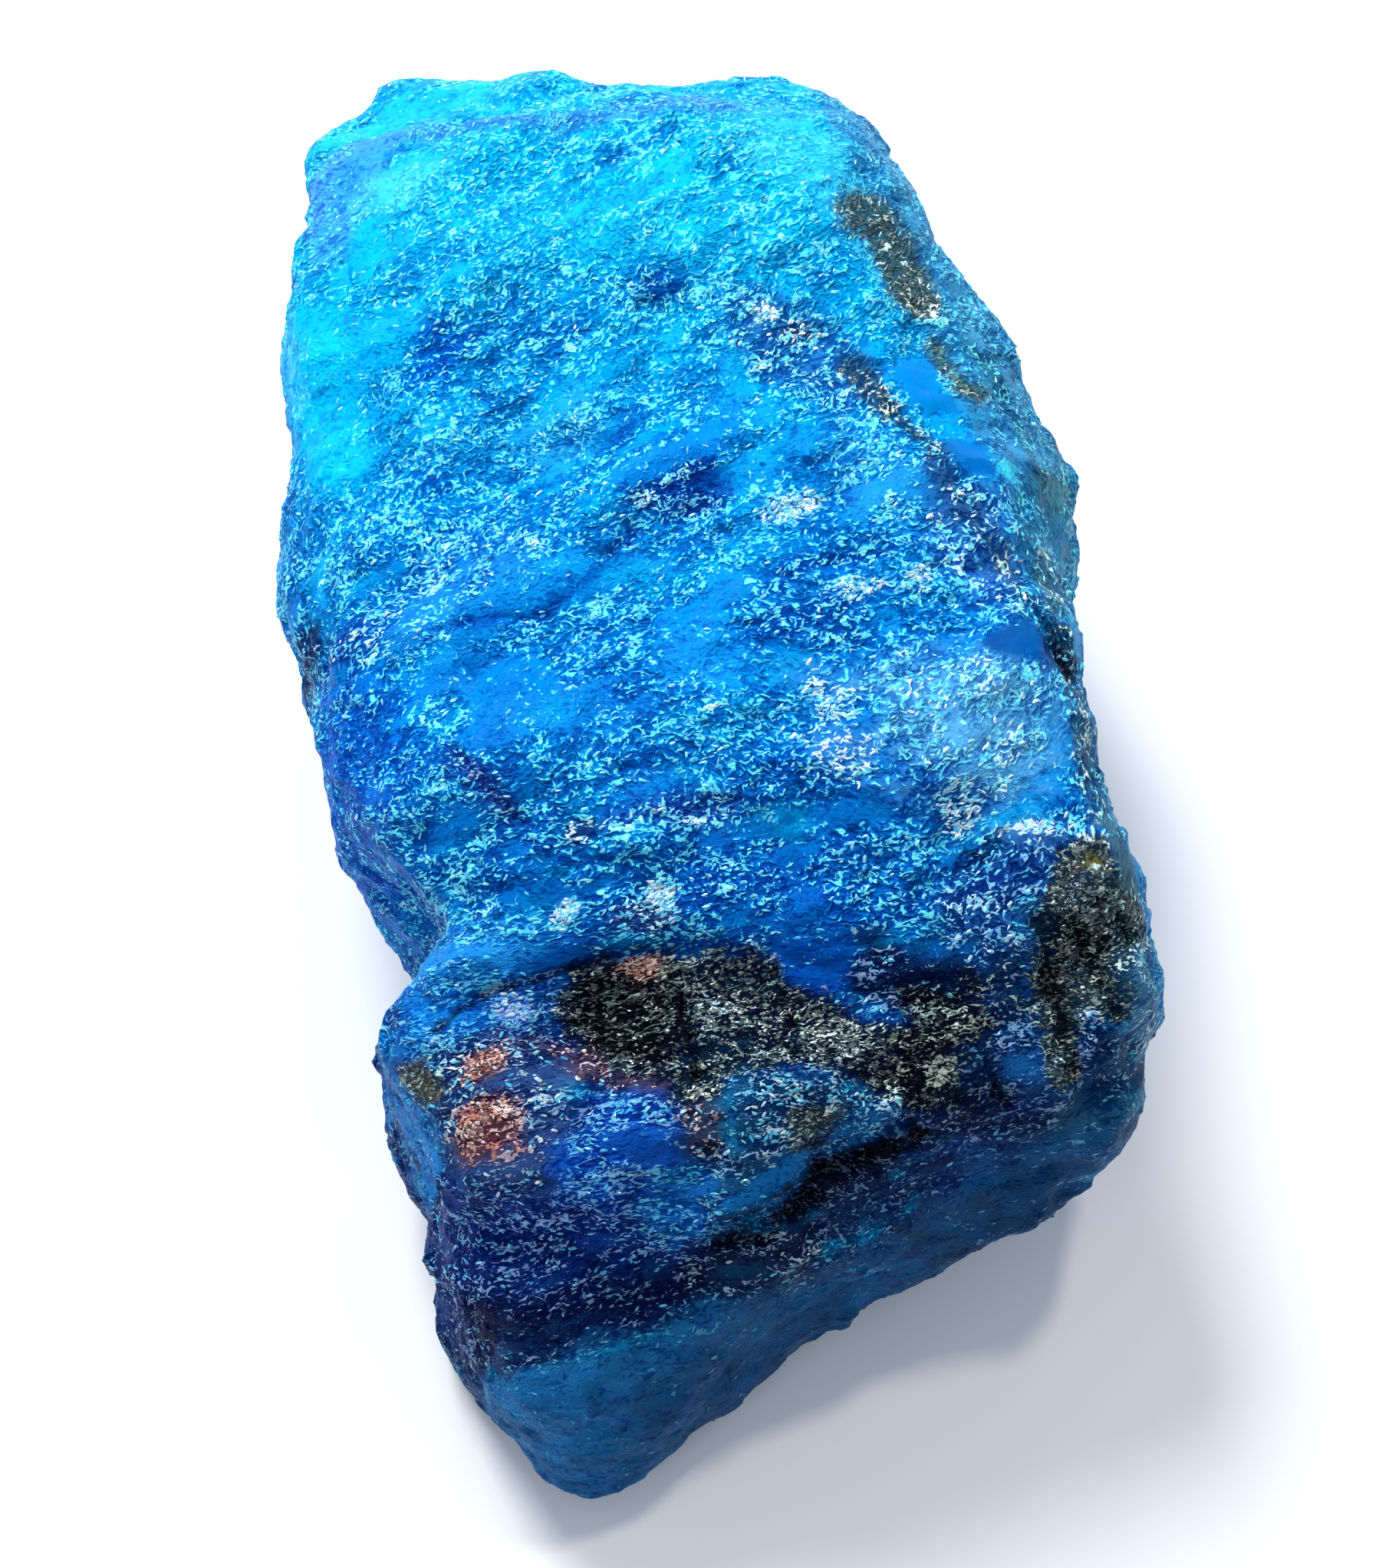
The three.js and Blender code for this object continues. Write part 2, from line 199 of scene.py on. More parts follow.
patches = [
    # whole sides, beyond a line on the plan
    side("right", "27 5.5, 22 6.6, 16.2 10, 11.6 11.8, 7 14, 2 15.2, -5.4 16.6, -9 18", (46, 140, 192),
         flecks=0.46, shine=0.8, calm=0.35, mottle=0.5),
    side("near", "-14 -28.2, -9.2 -32, -4.7 -30.5, -1.4 -28.5, 1.3 -27.2, 4.3 -26.4, 7.7 -25.3, 10.5 -23.6, "
         "12.5 -22.1, 16.4 -20.3, 19.1 -19.4, 24 -17.9", (20, 84, 132), calm=0.7, flecks=0.4, shine=0.9,
         mottle=0.5),
    # far end
    area("-19.9 22.7, -20 27.3, -19.1 28.8, -17.2 29, -16.2 27, -16.7 23.8, -17.8 21.4, -19.3 20.6",
         (54, 160, 244), calm=0.5, fade=1),
    oval((-15.1, 24.8), (2.6, 1.5), 20, (56, 206, 246), calm=0.45, flecks=0.56),
    oval((-10.3, 21.9), (5.5, 2.2), 8, (10, 186, 246), calm=0.4),
    oval((-2.5, 21.3), (6, 2.6), 4, (12, 190, 246), calm=0.4),
    oval((4.1, 25.1), (3.6, 2.4), -30, (50, 208, 248), calm=0.4),
    area("-21.5 18.2, -21 19, -19.6 18.7, -17.6 17, -16.8 13.5, -16 10.2, -16.6 8.7, -18.5 8.5, -19.8 11.5",
         (4, 190, 250), calm=0.7, flecks=0.45, fade=1.4),
    oval((-13.3, 15), (1.6, 2.4), -10, (0, 116, 220), flecks=0.4),
    oval((-13.3, 9.2), (1.1, 1.4), 0, (0, 116, 220), flecks=0.4),
    oval((-7.6, 16.1), (2.2, 1.3), 20, (0, 128, 216), white=0.12),
    oval((-2.9, 18.1), (1.6, 0.9), 20, (0, 108, 204), flecks=0.56, white=0.2),
    oval((-11.9, 11.3), (3, 2.2), 10, (6, 166, 240), calm=0.3),
    oval((-7.6, 10.8), (2.6, 1.6), 30, (30, 170, 236), flecks=0.6, white=0.15),
    area("0.4 17.5, 2.9 17.8, 5.8 16.3, 6.9 14.3, 7.9 12, 6.1 11.3, 3.3 13.1, 1.1 15.2", (30, 106, 182),
         flecks=0.58, white=0.3, fade=1.4),
    oval((2.5, 16.7), (0.8, 0.5), 20, (70, 160, 214), flecks=0.9, white=1),
    oval((4, 15.9), (1.3, 0.5), 20, (44, 60, 92), copper=0.14, white=0.5),
    area("6 22.2, 6.5 23.1, 8.2 23.3, 8.8 22.6, 9.7 21.9, 10.1 20.6, 10.7 19.5, 10.9 18.3, 10.5 17.5, "
         "9.5 17.5, 8.5 18.1, 8.2 19.1, 8 20.2, 7.1 20.7, 6.4 21.1", (88, 122, 112), mica=0.62, shine=1.1,
         fade=1.1),
    area("10.4 16.2, 10.9 15.9, 11.5 14.7, 12.2 13.9, 13.3 14, 13.4 13.4, 12.5 12.7, 11.6 13.2, 10.8 14.2, "
         "10.3 15.2", (80, 124, 112), mica=0.56, shine=1.2, fade=0.8),
    area("6.1 15, 7.1 14.3, 7.8 13, 8.7 11.9, 9.6 10.6, 10.6 9.7, 10.1 9.1, 9 10.2, 7.8 11.1, 6.8 12.7, "
         "6.1 14", (44, 84, 108), mica=0.44, shine=1.1, fade=0.8),
    # middle
    area("-15.5 2.2, -13.8 4.3, -11.9 6.4, -10 6.1, -8 4.7, -8.5 3.6, -11.3 2.1, -13.1 0.5, -14.9 0.2, "
         "-15.8 1", (20, 134, 222), flecks=0.63, white=0.25, fade=1.5),
    area("-11.7 1.6, -9.9 3, -8.2 4.1, -6 5.2, -5.3 3.8, -6 2.1, -8.2 1.7, -10.3 1", (6, 150, 236), calm=0.7,
         flecks=0.42),
    oval((-17, 0.7), (2, 1), 10, (14, 84, 182), flecks=0.62, white=0.4),
    oval((-19.1, 1.9), (1.1, 1), -50, (2, 30, 84), flecks=0.3),
    area("-4.6 9.1, -2.5 9.3, 0 10.9, 1.2 12.3, 1.6 11.1, 0 9.2, -2.1 7.5, -3.9 7.3, -5 8.1", (4, 138, 232),
         calm=0.8, flecks=0.42),
    area("-4.1 7.3, -2.5 8.4, 0 9, 1.1 8.3, 0.4 6.8, -1.8 6.6, -3.6 6.5", (0, 70, 166), flecks=0.52,
         copper=0.08),
    oval((-3.4, 7.1), (0.5, 0.45), 40, (90, 110, 150), flecks=0.9, white=1),
    oval((-0.4, -0.9), (2.6, 2), 0, (8, 146, 232), calm=0.66, flecks=0.44),
    area("2.3 2.9, 5.6 4, 9.2 5.4, 9.7 4.8, 6.3 3.2, 2.8 2", (0, 84, 182), flecks=0.48, fade=0.9),
    area("5.7 10.4, 7.5 10.5, 9.6 8.7, 10.1 6.5, 9.2 5.3, 6.7 6, 5.6 8.2", (24, 150, 226), calm=0.25,
         flecks=0.62, white=0.25, fade=1.6),
    oval((3.6, 6.5), (1.5, 0.7), 12, (40, 140, 214), flecks=0.84, white=0.7),
    oval((6.5, 2.4), (1.8, 0.6), 8, (30, 120, 200), flecks=0.86, white=0.8),
    oval((9.5, 2.8), (0.8, 0.6), 10, (40, 120, 196), flecks=0.9, white=0.95),
    oval((4.5, 0.7), (3.4, 1), 12, (0, 100, 192), flecks=0.54, white=0.2),
    oval((-17.2, -4.2), (4.4, 4), 10, (0, 104, 210), calm=0.35, flecks=0.42),
    oval((-10.1, -7.1), (2.4, 0.8), -44, (34, 80, 170), copper=0.1, white=0.2),
    area("3.5 -1.8, 4.5 -1.4, 6.3 -2.5, 6.6 -4, 5.5 -4.5, 4.2 -3.5", (30, 120, 196), flecks=0.76, white=0.6,
         fade=1.5),
    area("4.1 -5, 5.9 -4.5, 7.6 -5.2, 7.2 -6.5, 5.7 -7, 4.5 -6.4", (40, 124, 196), flecks=0.8, white=0.8,
         fade=1.5),
    oval((11.6, -4.1), (4.6, 4), 10, (88, 172, 224), flecks=0.6, white=0.4),
    area("10.3 -7.6, 11.5 -7.4, 12.3 -7.9, 11.8 -8.6, 10.7 -8.8", (24, 76, 150), flecks=0.78, white=0.9,
         fade=1.4),
    area("12.7 -8.9, 13.9 -8.3, 15.1 -8.5, 16 -9.1, 15.1 -9.7, 13.7 -9.3", (70, 136, 200), flecks=1.4,
         white=1.3, fade=0.9),
    # bevel of the long edge
    area("8.5 13.8, 9.1 14.7, 10.2 15, 10.9 14.1, 10.8 12.9, 11.4 12.4, 11.5 11.6, 10.7 11.7, 9.8 11.3, "
         "9.3 11.9, 8.9 12.7", (0, 128, 208), calm=1, flecks=0.3, fade=0.3),
    area("10.5 9.2, 11.3 10.1, 12.5 10.2, 13.1 9.3, 13.3 8.4, 12.1 8.2, 11.2 8.6", (0, 108, 190), calm=1,
         flecks=0.3, fade=0.3),
    area("13.2 9.4, 13.8 9.7, 14.3 9.4, 14.1 8.6, 13.5 8.5", (60, 222, 255), calm=0.6, flecks=0.6, fade=0.6),
    area("15.1 12.6, 16.5 13.5, 17.3 11.6, 17.5 9.9, 16.5 8.1, 15.3 8.7, 15.2 10.5", (60, 130, 134),
         calm=0.5, flecks=0.44, mottle=0.6, fade=1.2),
    area("14.2 7.5, 15.2 8.7, 16.7 7.9, 17.8 8.9, 17.8 6.7, 14.9 2.1, 13.9 4.2", (30, 130, 172), calm=0.5,
         flecks=0.46, mottle=0.6, fade=1.2),
    area("10.3 7.9, 13.2 7.6, 13.9 4.6, 14.1 1.3, 12.7 1.4, 10.9 2.9, 9.8 5", (44, 108, 190), calm=0.3,
         white=0.3, mottle=0.4, fade=1.6),
    area("12.1 -0.3, 13 0.3, 14.7 0.6, 15.5 -0.5, 15.9 -1.1, 13.9 -1.3, 12.6 -0.9", (0, 72, 146), calm=1,
         flecks=0.3, fade=0.4),
    area("15.2 1.4, 16.4 1.3, 16.9 -0.2, 16.8 -1.3, 16.3 -1.3, 15.6 -0.5", (22, 62, 78), mica=0.36,
         shine=1.1, fade=0.9),
    oval((14.3, 2.4), (1, 0.5), -10, (60, 90, 130), flecks=0.84, white=0.9),
    area("11.6 20.5, 12.5 20.5, 13.6 17.3, 14.9 15.2, 15.5 12.8, 14.7 12.1, 13.6 13.6, 12.4 15.8",
         (30, 104, 132), mottle=0.6, fade=1),
    area("9.7 10.6, 10.6 9.2, 11.8 7.4, 13.1 5.4, 14.2 4, 14.6 1.8, 13.8 1.8, 12.8 3.7, 11.4 5.8, 10.1 8",
         (44, 92, 140), mica=0.22, shine=1.1, white=0.3, fade=1.1),
    area("15.1 5.9, 15.9 5.6, 16.5 3.6, 16.2 1.8, 15.4 2, 15 3.8", (84, 140, 160), mica=0.3, shine=1.2,
         white=0.4, fade=0.9),
    area("16.3 -1.9, 17 -1.8, 17.6 -4.2, 17.6 -7.3, 17.3 -8.5, 16.7 -7.1, 16.3 -4.6", (50, 100, 132),
         calm=0.3, flecks=0.48, mica=0.25, mottle=0.5, fade=1),
    # above the seam
    oval((-6.7, -12.2), (0.8, 0.7), 40, (80, 120, 180), flecks=1.4, white=1.3),
    oval((-2.4, -12.1), (0.7, 0.9), 0, (80, 112, 176), flecks=1.3, white=1.2),
    oval((-3.5, -12.8), (1.6, 0.9), 0, (44, 76, 130), copper=0.14, white=0.4),
    oval((-1.1, -8.2), (3.6, 1.2), 6, (24, 76, 164), copper=0.08, white=0.25),
    oval((-6.1, -8.8), (0.7, 0.9), -30, (24, 50, 110), white=0.5),
    area("2.6 -13.7, 4.5 -13.9, 6.2 -13.6, 7.9 -14.1, 6.4 -14.7, 6.2 -15.6, 5.2 -15.9, 3.7 -15.6, 2.8 -14.5",
         (0, 80, 176), calm=0.8, flecks=0.4),
    oval((-11.5, -13.7), (3.4, 2), 0, (30, 140, 216), flecks=0.58, white=0.2),
    area("-10.1 -16, -9.4 -15.6, -8 -15.6, -8 -16.3, -8.7 -17, -9.8 -16.5", (80, 116, 190), flecks=0.84,
         white=0.9),
    area("-14.1 -15.2, -11.5 -15.7, -10.1 -16.7, -11.5 -17.5, -13.7 -18.1, -15.4 -16.9, -14 -16.7",
         (20, 130, 220), flecks=0.6, white=0.25, fade=1),
    # the dark seam and the black right corner
    area("12.5 -9.2, 16.2 -9.2, 15.2 -12.1, 14.4 -14.1, 12.8 -14.1, 10.7 -14, 10 -12.3, 11.1 -10.1",
         (20, 66, 132), flecks=0.53, white=0.3, shine=0.9, fade=1.6),
    area("12.1 -14, 14.4 -13.9, 14.3 -15.4, 15 -17, 13.2 -16.9, 12.5 -15.6", (16, 50, 80), mica=0.3,
         white=0.3, fade=1.2),
    area("6.5 -13.7, 7.6 -13.3, 8.8 -14.1, 11.4 -14.4, 12.8 -15.9, 13.1 -18.1, 14 -20.3, 12.7 -21.3, "
         "9.4 -21.7, 7.9 -20.4, 8.6 -18.7, 8.7 -16.9, 6.2 -15.9", (4, 22, 56), flecks=0.48, shine=0.9,
         white=0.2, fade=1.2),
    area("8.6 -15.6, 11.8 -15.5, 12.5 -17.2, 11.1 -17.7, 10.7 -19.3, 11.5 -20.4, 9.3 -20.9, 7.6 -20.3, "
         "8.6 -18", (6, 12, 22), mica=0.72, fade=1.4),
    area("-7.3 -15.7, -6.2 -14.6, -5.3 -14, -3.5 -13.7, -1.6 -14.3, -0.9 -14.5, 0.2 -14, 1.7 -14, 2.6 -14.5, "
         "3.5 -15.6, 5.2 -16, 6.3 -16.9, 9 -17.5, 9.1 -19.1, 7.9 -20.4, 6.5 -19.9, 5.4 -19.5, 3.1 -19.2, "
         "0.7 -19.6, 0.1 -20.4, -1.1 -21, -2.2 -20.5, -4.5 -19.2, -6 -18.2, -6.8 -17.1", (6, 10, 14),
         mica=0.95, shine=1.9, fade=1),
    area("-6.5 -15.1, -5.6 -14.4, -3.9 -14.4, -2.2 -15.2, -1.6 -16.8, -2 -18.6, -3.5 -19, -4.9 -18.2, "
         "-6 -17", (4, 3, 4), mica=1, shine=0.7, fade=1.1),
    area("-10 -17.5, -8 -17.4, -5.9 -18, -4.1 -19.1, -2 -20, -2.2 -20.7, -4.5 -20, -6.4 -19.1, -8 -18.5, "
         "-9.9 -18.5", (74, 60, 84), copper=0.5, flecks=0.6, shine=1.9, fade=0.6),
    area("-4.4 -14.4, -4.1 -14, -3 -13.8, -2.5 -14, -2.6 -14.7, -3.5 -14.8", (120, 68, 52), copper=0.95,
         flecks=1.1, shine=2.4, white=0.8, fade=0.8),
    area("13.2 -16.9, 15.1 -16.8, 15.4 -18.4, 15.5 -19.5, 14.5 -19.9, 13.1 -19.1", (10, 62, 108), calm=0.2,
         shine=1.1, mottle=0.5, fade=1.3),
    area("14.9 -12, 15.7 -10.2, 16.4 -9.5, 17.6 -9.4, 18.4 -10.5, 19.2 -11.2, 19.7 -12.2, 19.8 -13.2, "
         "18.8 -13.4, 18.2 -13.3, 18.3 -14.1, 19.2 -15.5, 19.1 -16.8, 18.1 -16.7, 17.2 -16.1, 16.6 -16.7, "
         "16.7 -18.6, 16.7 -19.5, 15.9 -19.7, 15.2 -19, 15.1 -17.3, 14.6 -16, 14.3 -14.9, 14.5 -14, "
         "14.3 -13.6, 14.9 -12.9", (50, 82, 92), mica=1.1, shine=1.9, fade=0.7),
    area("17.6 -12.7, 19.2 -12.8, 19.6 -14, 19.2 -15.6, 18.2 -14.8", (50, 84, 100), mica=0.7, shine=1.4,
         fade=1.1),
    area("14.9 -12.4, 16.3 -12.3, 18.1 -12.4, 18.2 -13.3, 17.8 -14, 16.4 -14.4, 15.4 -15.6, 14.6 -15.3, "
         "14.5 -14.1", (8, 12, 12), mica=1.1, shine=0.9, fade=1),
    area("14 -12.2, 14.6 -12, 15.1 -12.6, 14.9 -13.4, 15.3 -14, 14.7 -13.8, 14.2 -13.2, 13.7 -12.9",
         (40, 112, 166), calm=0.4, fade=0.9),
    area("16.7 -10, 17.4 -9.9, 17.7 -10.3, 17.3 -10.7, 16.7 -10.5", (120, 106, 36), calm=0.5, flecks=0.4,
         mica=0.3, fade=0.6),
    area("18 -8.1, 18.5 -9.2, 19.4 -10.4, 19.8 -10.4, 19.5 -11.4, 18.7 -11, 18.1 -9.9, 17.9 -8.3",
         (70, 108, 122), calm=0.8, flecks=0.4, fade=0.8),
    area("19.3 -13.3, 20.1 -13.4, 20.5 -15.2, 20.8 -16.2, 20.7 -16.6, 20.4 -17.5, 19.4 -17.2, 19.4 -15.8, "
         "19.1 -14.5", (66, 110, 142), calm=0.5, shine=0.9, white=0.5, fade=1),
    area("16.8 -16.5, 18.7 -17, 20 -17.2, 21 -16.9, 19.5 -19, 18 -19.9, 16.6 -19.9, 16.8 -18.6", (8, 46, 82),
         shine=1.4, white=0.2, fade=1.2),
    area("12.9 -20.3, 16.7 -19.8, 18.4 -19.9, 18.9 -20.2, 17 -20.7, 13.9 -21.3", (12, 44, 78), flecks=0.48,
         white=0.3, fade=1),
    # near end
    area("-12.6 -17.7, -10.1 -17.6, -7.1 -18.3, -6.4 -20.2, -6.8 -23.2, -8 -24.3, -11.7 -24, -12.9 -21.5, "
         "-12.7 -19.5", (48, 76, 132), flecks=0.52, shine=2, white=0.5, copper=0.14, fade=1.2),
    area("-14.2 -18.5, -13.5 -18.3, -12.7 -18.8, -12.5 -19.8, -13.4 -19.9, -14.2 -18.8", (120, 112, 78),
         mica=0.8, shine=3, flecks=0.6, fade=0.9),
    area("-11.4 -19.4, -11 -18.7, -10 -17.9, -9.6 -18.2, -10.1 -19.1, -11 -19.5", (116, 78, 74), copper=0.9,
         flecks=0.82, shine=2.4, fade=1),
    area("-11.6 -20.8, -10.8 -20.2, -9.4 -20.1, -8.6 -21, -8.6 -22.2, -9.7 -22.5, -11.3 -22.4, -11.6 -21.5",
         (100, 42, 40), copper=0.95, flecks=0.85, shine=2.6, white=0.4, fade=1.1),
    area("-1.7 -20.8, -0.2 -20.5, 0.5 -20.9, 0.7 -22.2, 1.1 -22.9, 0 -23.2, -1.2 -23, -1.5 -21.8",
         (40, 44, 62), copper=0.42, flecks=0.6, shine=2, white=0.6, fade=1.2),
    area("-13.5 -22.4, -10.2 -24.4, -5.9 -24.8, -2.4 -25.3, -0.3 -25.7, -0.3 -26.9, -2.1 -28.3, -4.6 -29.7, "
         "-8.2 -31.1, -11.3 -29.7, -13.4 -26.2", (10, 52, 130), shine=2.4, white=-0.35, fade=1.4),
    area("-12 -27.1, -8.1 -27.9, -3.2 -27.1, -1.1 -26.6, 0 -27.1, -1.8 -28.3, -4.6 -29.9, -8.2 -31.3, "
         "-11.4 -29.9", (4, 20, 58), flecks=0.42, shine=1.5, white=-0.3, fade=1.4),
    area("-5.6 -20.3, -3.8 -20.3, -2.4 -20.7, -1.7 -21.2, -1.4 -22.4, -1.6 -23.4, -2.7 -24.3, -4.9 -24.8, "
         "-7 -24.3, -7.5 -23.1, -6.5 -22.3, -5.8 -21.3", (12, 84, 182), flecks=0.64, shine=1.9, white=0.1,
         lift=0.35, mottle=0.5, fade=1.1),
    area("-2.7 -24.1, -1.4 -23.3, 0.3 -23.4, 1.1 -24.5, 0.3 -25.7, -1.8 -26, -3.5 -25.3", (24, 110, 194),
         flecks=0.6, shine=1.8, white=0.3, fade=1.2),
    area("0.6 -19.8, 2.4 -19.6, 4.4 -19.7, 5.8 -20.1, 7 -20.5, 8.2 -20.7, 8.6 -21.1, 7.6 -21.6, 5.9 -22.1, "
         "4.5 -22.5, 4.1 -23.2, 3.5 -24.1, 2.1 -25.1, 0.4 -25.4, -0.3 -24.5, 0.5 -23, 0.7 -21.3",
         (20, 70, 108), flecks=0.6, shine=2.1, white=0.4, lift=0.5, mottle=0.4, fade=0.7),
    area("8.6 -21, 7.6 -21.3, 5.9 -21.7, 4.2 -22.3, 3.4 -23.1, 2.6 -23.8, 1.5 -24.5, 0.5 -24.9, 0.5 -25.4, "
         "2.1 -25.1, 3.6 -24.1, 4.3 -23.2, 4.6 -22.5, 5.9 -22.1, 7.6 -21.6", (16, 104, 168), calm=0.7,
         shine=1.5, fade=0.4),
    area("3.4 -21.5, 4.4 -21.1, 5.4 -21.4, 4.9 -22, 3.7 -22.4", (70, 80, 70), mica=0.7, shine=1.8, fade=1.1),
    # painted shadow: the dark band under the step of the lobe above
    area("8.8 -21.2, 7.6 -21.9, 4.6 -22.6, 4.3 -23.4, 2.6 -25.1, 0.7 -25.7, -0.2 -26.7, 1.1 -26.4, "
         "2.5 -25.6, 4.3 -25, 6 -23.9, 7.8 -23, 9.5 -22, 9.6 -21.3", (4, 12, 28), flecks=0.4, shine=0.9),
    area("4.3 -25.1, 6 -24, 7.8 -23, 10.5 -21.7, 11.6 -21.7, 9.6 -23.5, 6.7 -24.9, 5 -25.4", (8, 42, 84),
         calm=0.4, flecks=0.46, shine=1.2, fade=1),
    area("-1.4 -26.6, 0 -26.2, 1.7 -25.8, 4 -25.2, 5.3 -25.6, 5.2 -26.3, 2.5 -27.5, 0 -28.1, -1.4 -27.8",
         (8, 26, 58), shine=1.7, white=0.4, fade=0.9),
    area("-15.5 -17.5, -14.4 -19.1, -13 -20.7, -12.5 -22.4, -13.4 -22.7, -14.8 -19.4", (36, 140, 218),
         calm=0.5, fade=0.7),
    # near wall
    # a lighter rim along the near wall's upper edge, partly a painted highlight
    oval((-7.5, -31.4), (5, 0.9), 8, (34, 118, 176), calm=0.5, mottle=0.4),
    oval((-8.5, -33.4), (5.5, 3), 30, (24, 98, 152), calm=0.75, flecks=0.4, mottle=0.6),
    oval((4, -29), (9, 1.8), 28, (16, 72, 116), calm=0.8, flecks=0.36, mottle=0.5),
    oval((14, -23.4), (6, 2), 24, (14, 60, 98), calm=0.75, flecks=0.38, mottle=0.5),
    area("16 -20.5, 18.1 -19.6, 19.6 -19.1, 20.5 -18.9, 19.6 -19.9, 17.1 -20.8", (46, 100, 132), calm=0.6,
         flecks=0.42, fade=1.2),
    area("11.3 -21.7, 12.6 -21.4, 13 -21.8, 12.6 -22.4, 11.8 -22.6", (14, 76, 128), calm=0.7, flecks=0.4,
         fade=0.9),
]

lines = [
    trace("-1.7 -14.7, -1.3 -16.6, -0.9 -18.4, -0.7 -19.5", (2, 3, 4), width=0.28, depth=0.4, shine=0),
    trace("2.7 -14.8, 3.2 -15.9, 3.6 -17.2", (4, 6, 8), width=0.2, depth=0.2, shine=0.2),
    trace("-12.8 -17.1, -10.1 -15.3, -8 -15, -6.3 -14.4, -5.4 -14, -1.8 -13.7", (4, 18, 48), width=0.22,
         depth=0.25, shine=0.3),
    trace("9.2 -21.4, 7.6 -22.1, 5.9 -22.5, 4.7 -23, 4.3 -23.7, 3.5 -24.7, 2.1 -25.5, 0.3 -26", (2, 5, 12),
         width=0.55, depth=0.9, shine=0.1),
    trace("15.1 1.7, 15.7 -0.1, 16.4 -1.2", (6, 26, 40), width=0.3, depth=0.3, shine=0.3),
    trace("14.9 -12.7, 15.1 -14.3, 15.6 -15.6, 16.1 -17.3, 16.5 -18.7", (3, 7, 8), width=0.5, depth=0.45,
         shine=0.2),
    trace("16.4 -13, 17.1 -14, 17.8 -15.4, 18.4 -16.5", (8, 16, 18), width=0.35, depth=0.3, shine=0.4),
    trace("17.4 -11.7, 18.3 -12.3, 19 -13.2", (6, 14, 16), width=0.3, depth=0.3, shine=0.3),
    trace("12.5 -18.7, 12.8 -19.8, 13.8 -20.5", (2, 6, 14), width=0.25, depth=0.3, shine=0.2),
    trace("-11.7 1.3, -8.2 1.5, -6 3.1, -3.6 5.7", (0, 90, 190), width=0.3, depth=0.15, shine=0.8),
    trace("-11.9 -5, -10.1 -7.1, -8.5 -8.5", (40, 60, 130), width=0.22, depth=0.2, shine=0.7),
    trace("-19.8 23.2, -19.4 27.3, -17.5 28.6, -14 28.9, -10.8 28, -6.3 27.7, -1.1 28.6, 1.2 28.8",
         (66, 158, 240), width=0.75, depth=-0.25, shine=0.6),
    trace("7.6 27.9, 9.8 24, 12.1 20.3, 14.2 15.6, 16.2 11.8", (70, 160, 208), width=1, depth=0, shine=0.8),
]

stone = {
    "point": 0.33,          # distance between the points of the fine skin
    "soften": 5,            # rounds of smoothing of the coarse facets
    "grainTurn": 22,
    "ledges": {"size": 3.2, "stretch": 2.1, "steps": 2.2, "riser": (0.35, 0.65), "depth": 0.22, "seed": 1},
    "shards": {"size": 2.3, "stretch": 2.0, "depth": 0.46, "seed": 2},
    "chips": {"size": 0.95, "stretch": 1.8, "depth": 0.34, "seed": 11},
    "pits": {"size": 0.5, "depth": 0.1, "seed": 22},
    "calmLoss": 0.5,        # share of the relief that calm skin loses
    "wallShare": 0.65,      # and that the walls keep
    "crease": 30,           # edges sharper than this many degrees stay crisp
    "baseBlend": 0.8,       # height over which the relief fades out above the flat underside
    # the grain rises to the right, more at the far end; bends: size, reach and first seed
    "grain": {"farTurn": 28, "nearTurn": 8, "farY": 8, "nearY": -20, "pivot": (5, -6, 0),
              "bends": [(13, 1.5, 50), (4.5, 0.6, 53)], "closer": 0.55, "closerY": -13},
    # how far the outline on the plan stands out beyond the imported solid's, by bearing from the middle
    "rim": {
        "middle": (-0.8, 0), "reach": 6, "step": 3,
        "shifts": placesOf("350 0.1, 358 -1, 8 -0.5, 18 -0.3, 28 -0.5, 37 -1, 46 -0.5, 58 -0.7, 68 -0.6, "
                           "80 -0.4, 90 -0.3, 100 -0.5, 112 -0.2, 122 0.1, 134 -0.7, 144 0.2, 154 0.1, "
                           "165 0.3, 173 0.6, 189 0.6, 200 0.1, 215 0.2, 230 0.5, 248 0.2, 259 0.4, "
                           "269 0.3, 281 -0.4, 292 -0.2, 302 0, 311 1.2, 319 -0.5, 329 -0.8, 339 -0.2"),
    },
}

# how softly each kind of place on the plan ends, and how much its edge is frayed
edges = {"side": (-0.3, 0.5), "area": (-0.6, 0.4), "fade": 0.5, "areaFray": 0.9,
         "oval": (0.4, 1.3), "trace": (0.1, 1.5), "traceFray": 1.6}


def flowOf(points):
    # places measured along and across the stone's grain, which runs in slow bends
    grain = stone["grain"]
    bent = points.copy()
    for size, reach, seed in grain["bends"]:
        bent += reach * np.stack([softNoise(points, size, seed + axis) for axis in range(3)], axis=1)
    flow = alongGrain(bent - grain["pivot"], turnAt(points, grain), 1)
    flow[:, 1] -= grain["closer"] * np.maximum(grain["closerY"] - points[:, 1], 0)
    return flow


def distanceTo(points, start, end):
    way = np.subtract(end, start)
    away = points[:, :2] - start
    along = np.clip(away @ way / (way @ way), 0, 1)
    return np.hypot(*(away - along[:, None] * way).T)


def distanceToPath(points, path):
    nearest = np.full(len(points), np.inf)
    for start, end in zip(path, path[1:]):
        nearest = np.minimum(nearest, distanceTo(points, start, end))
    return nearest


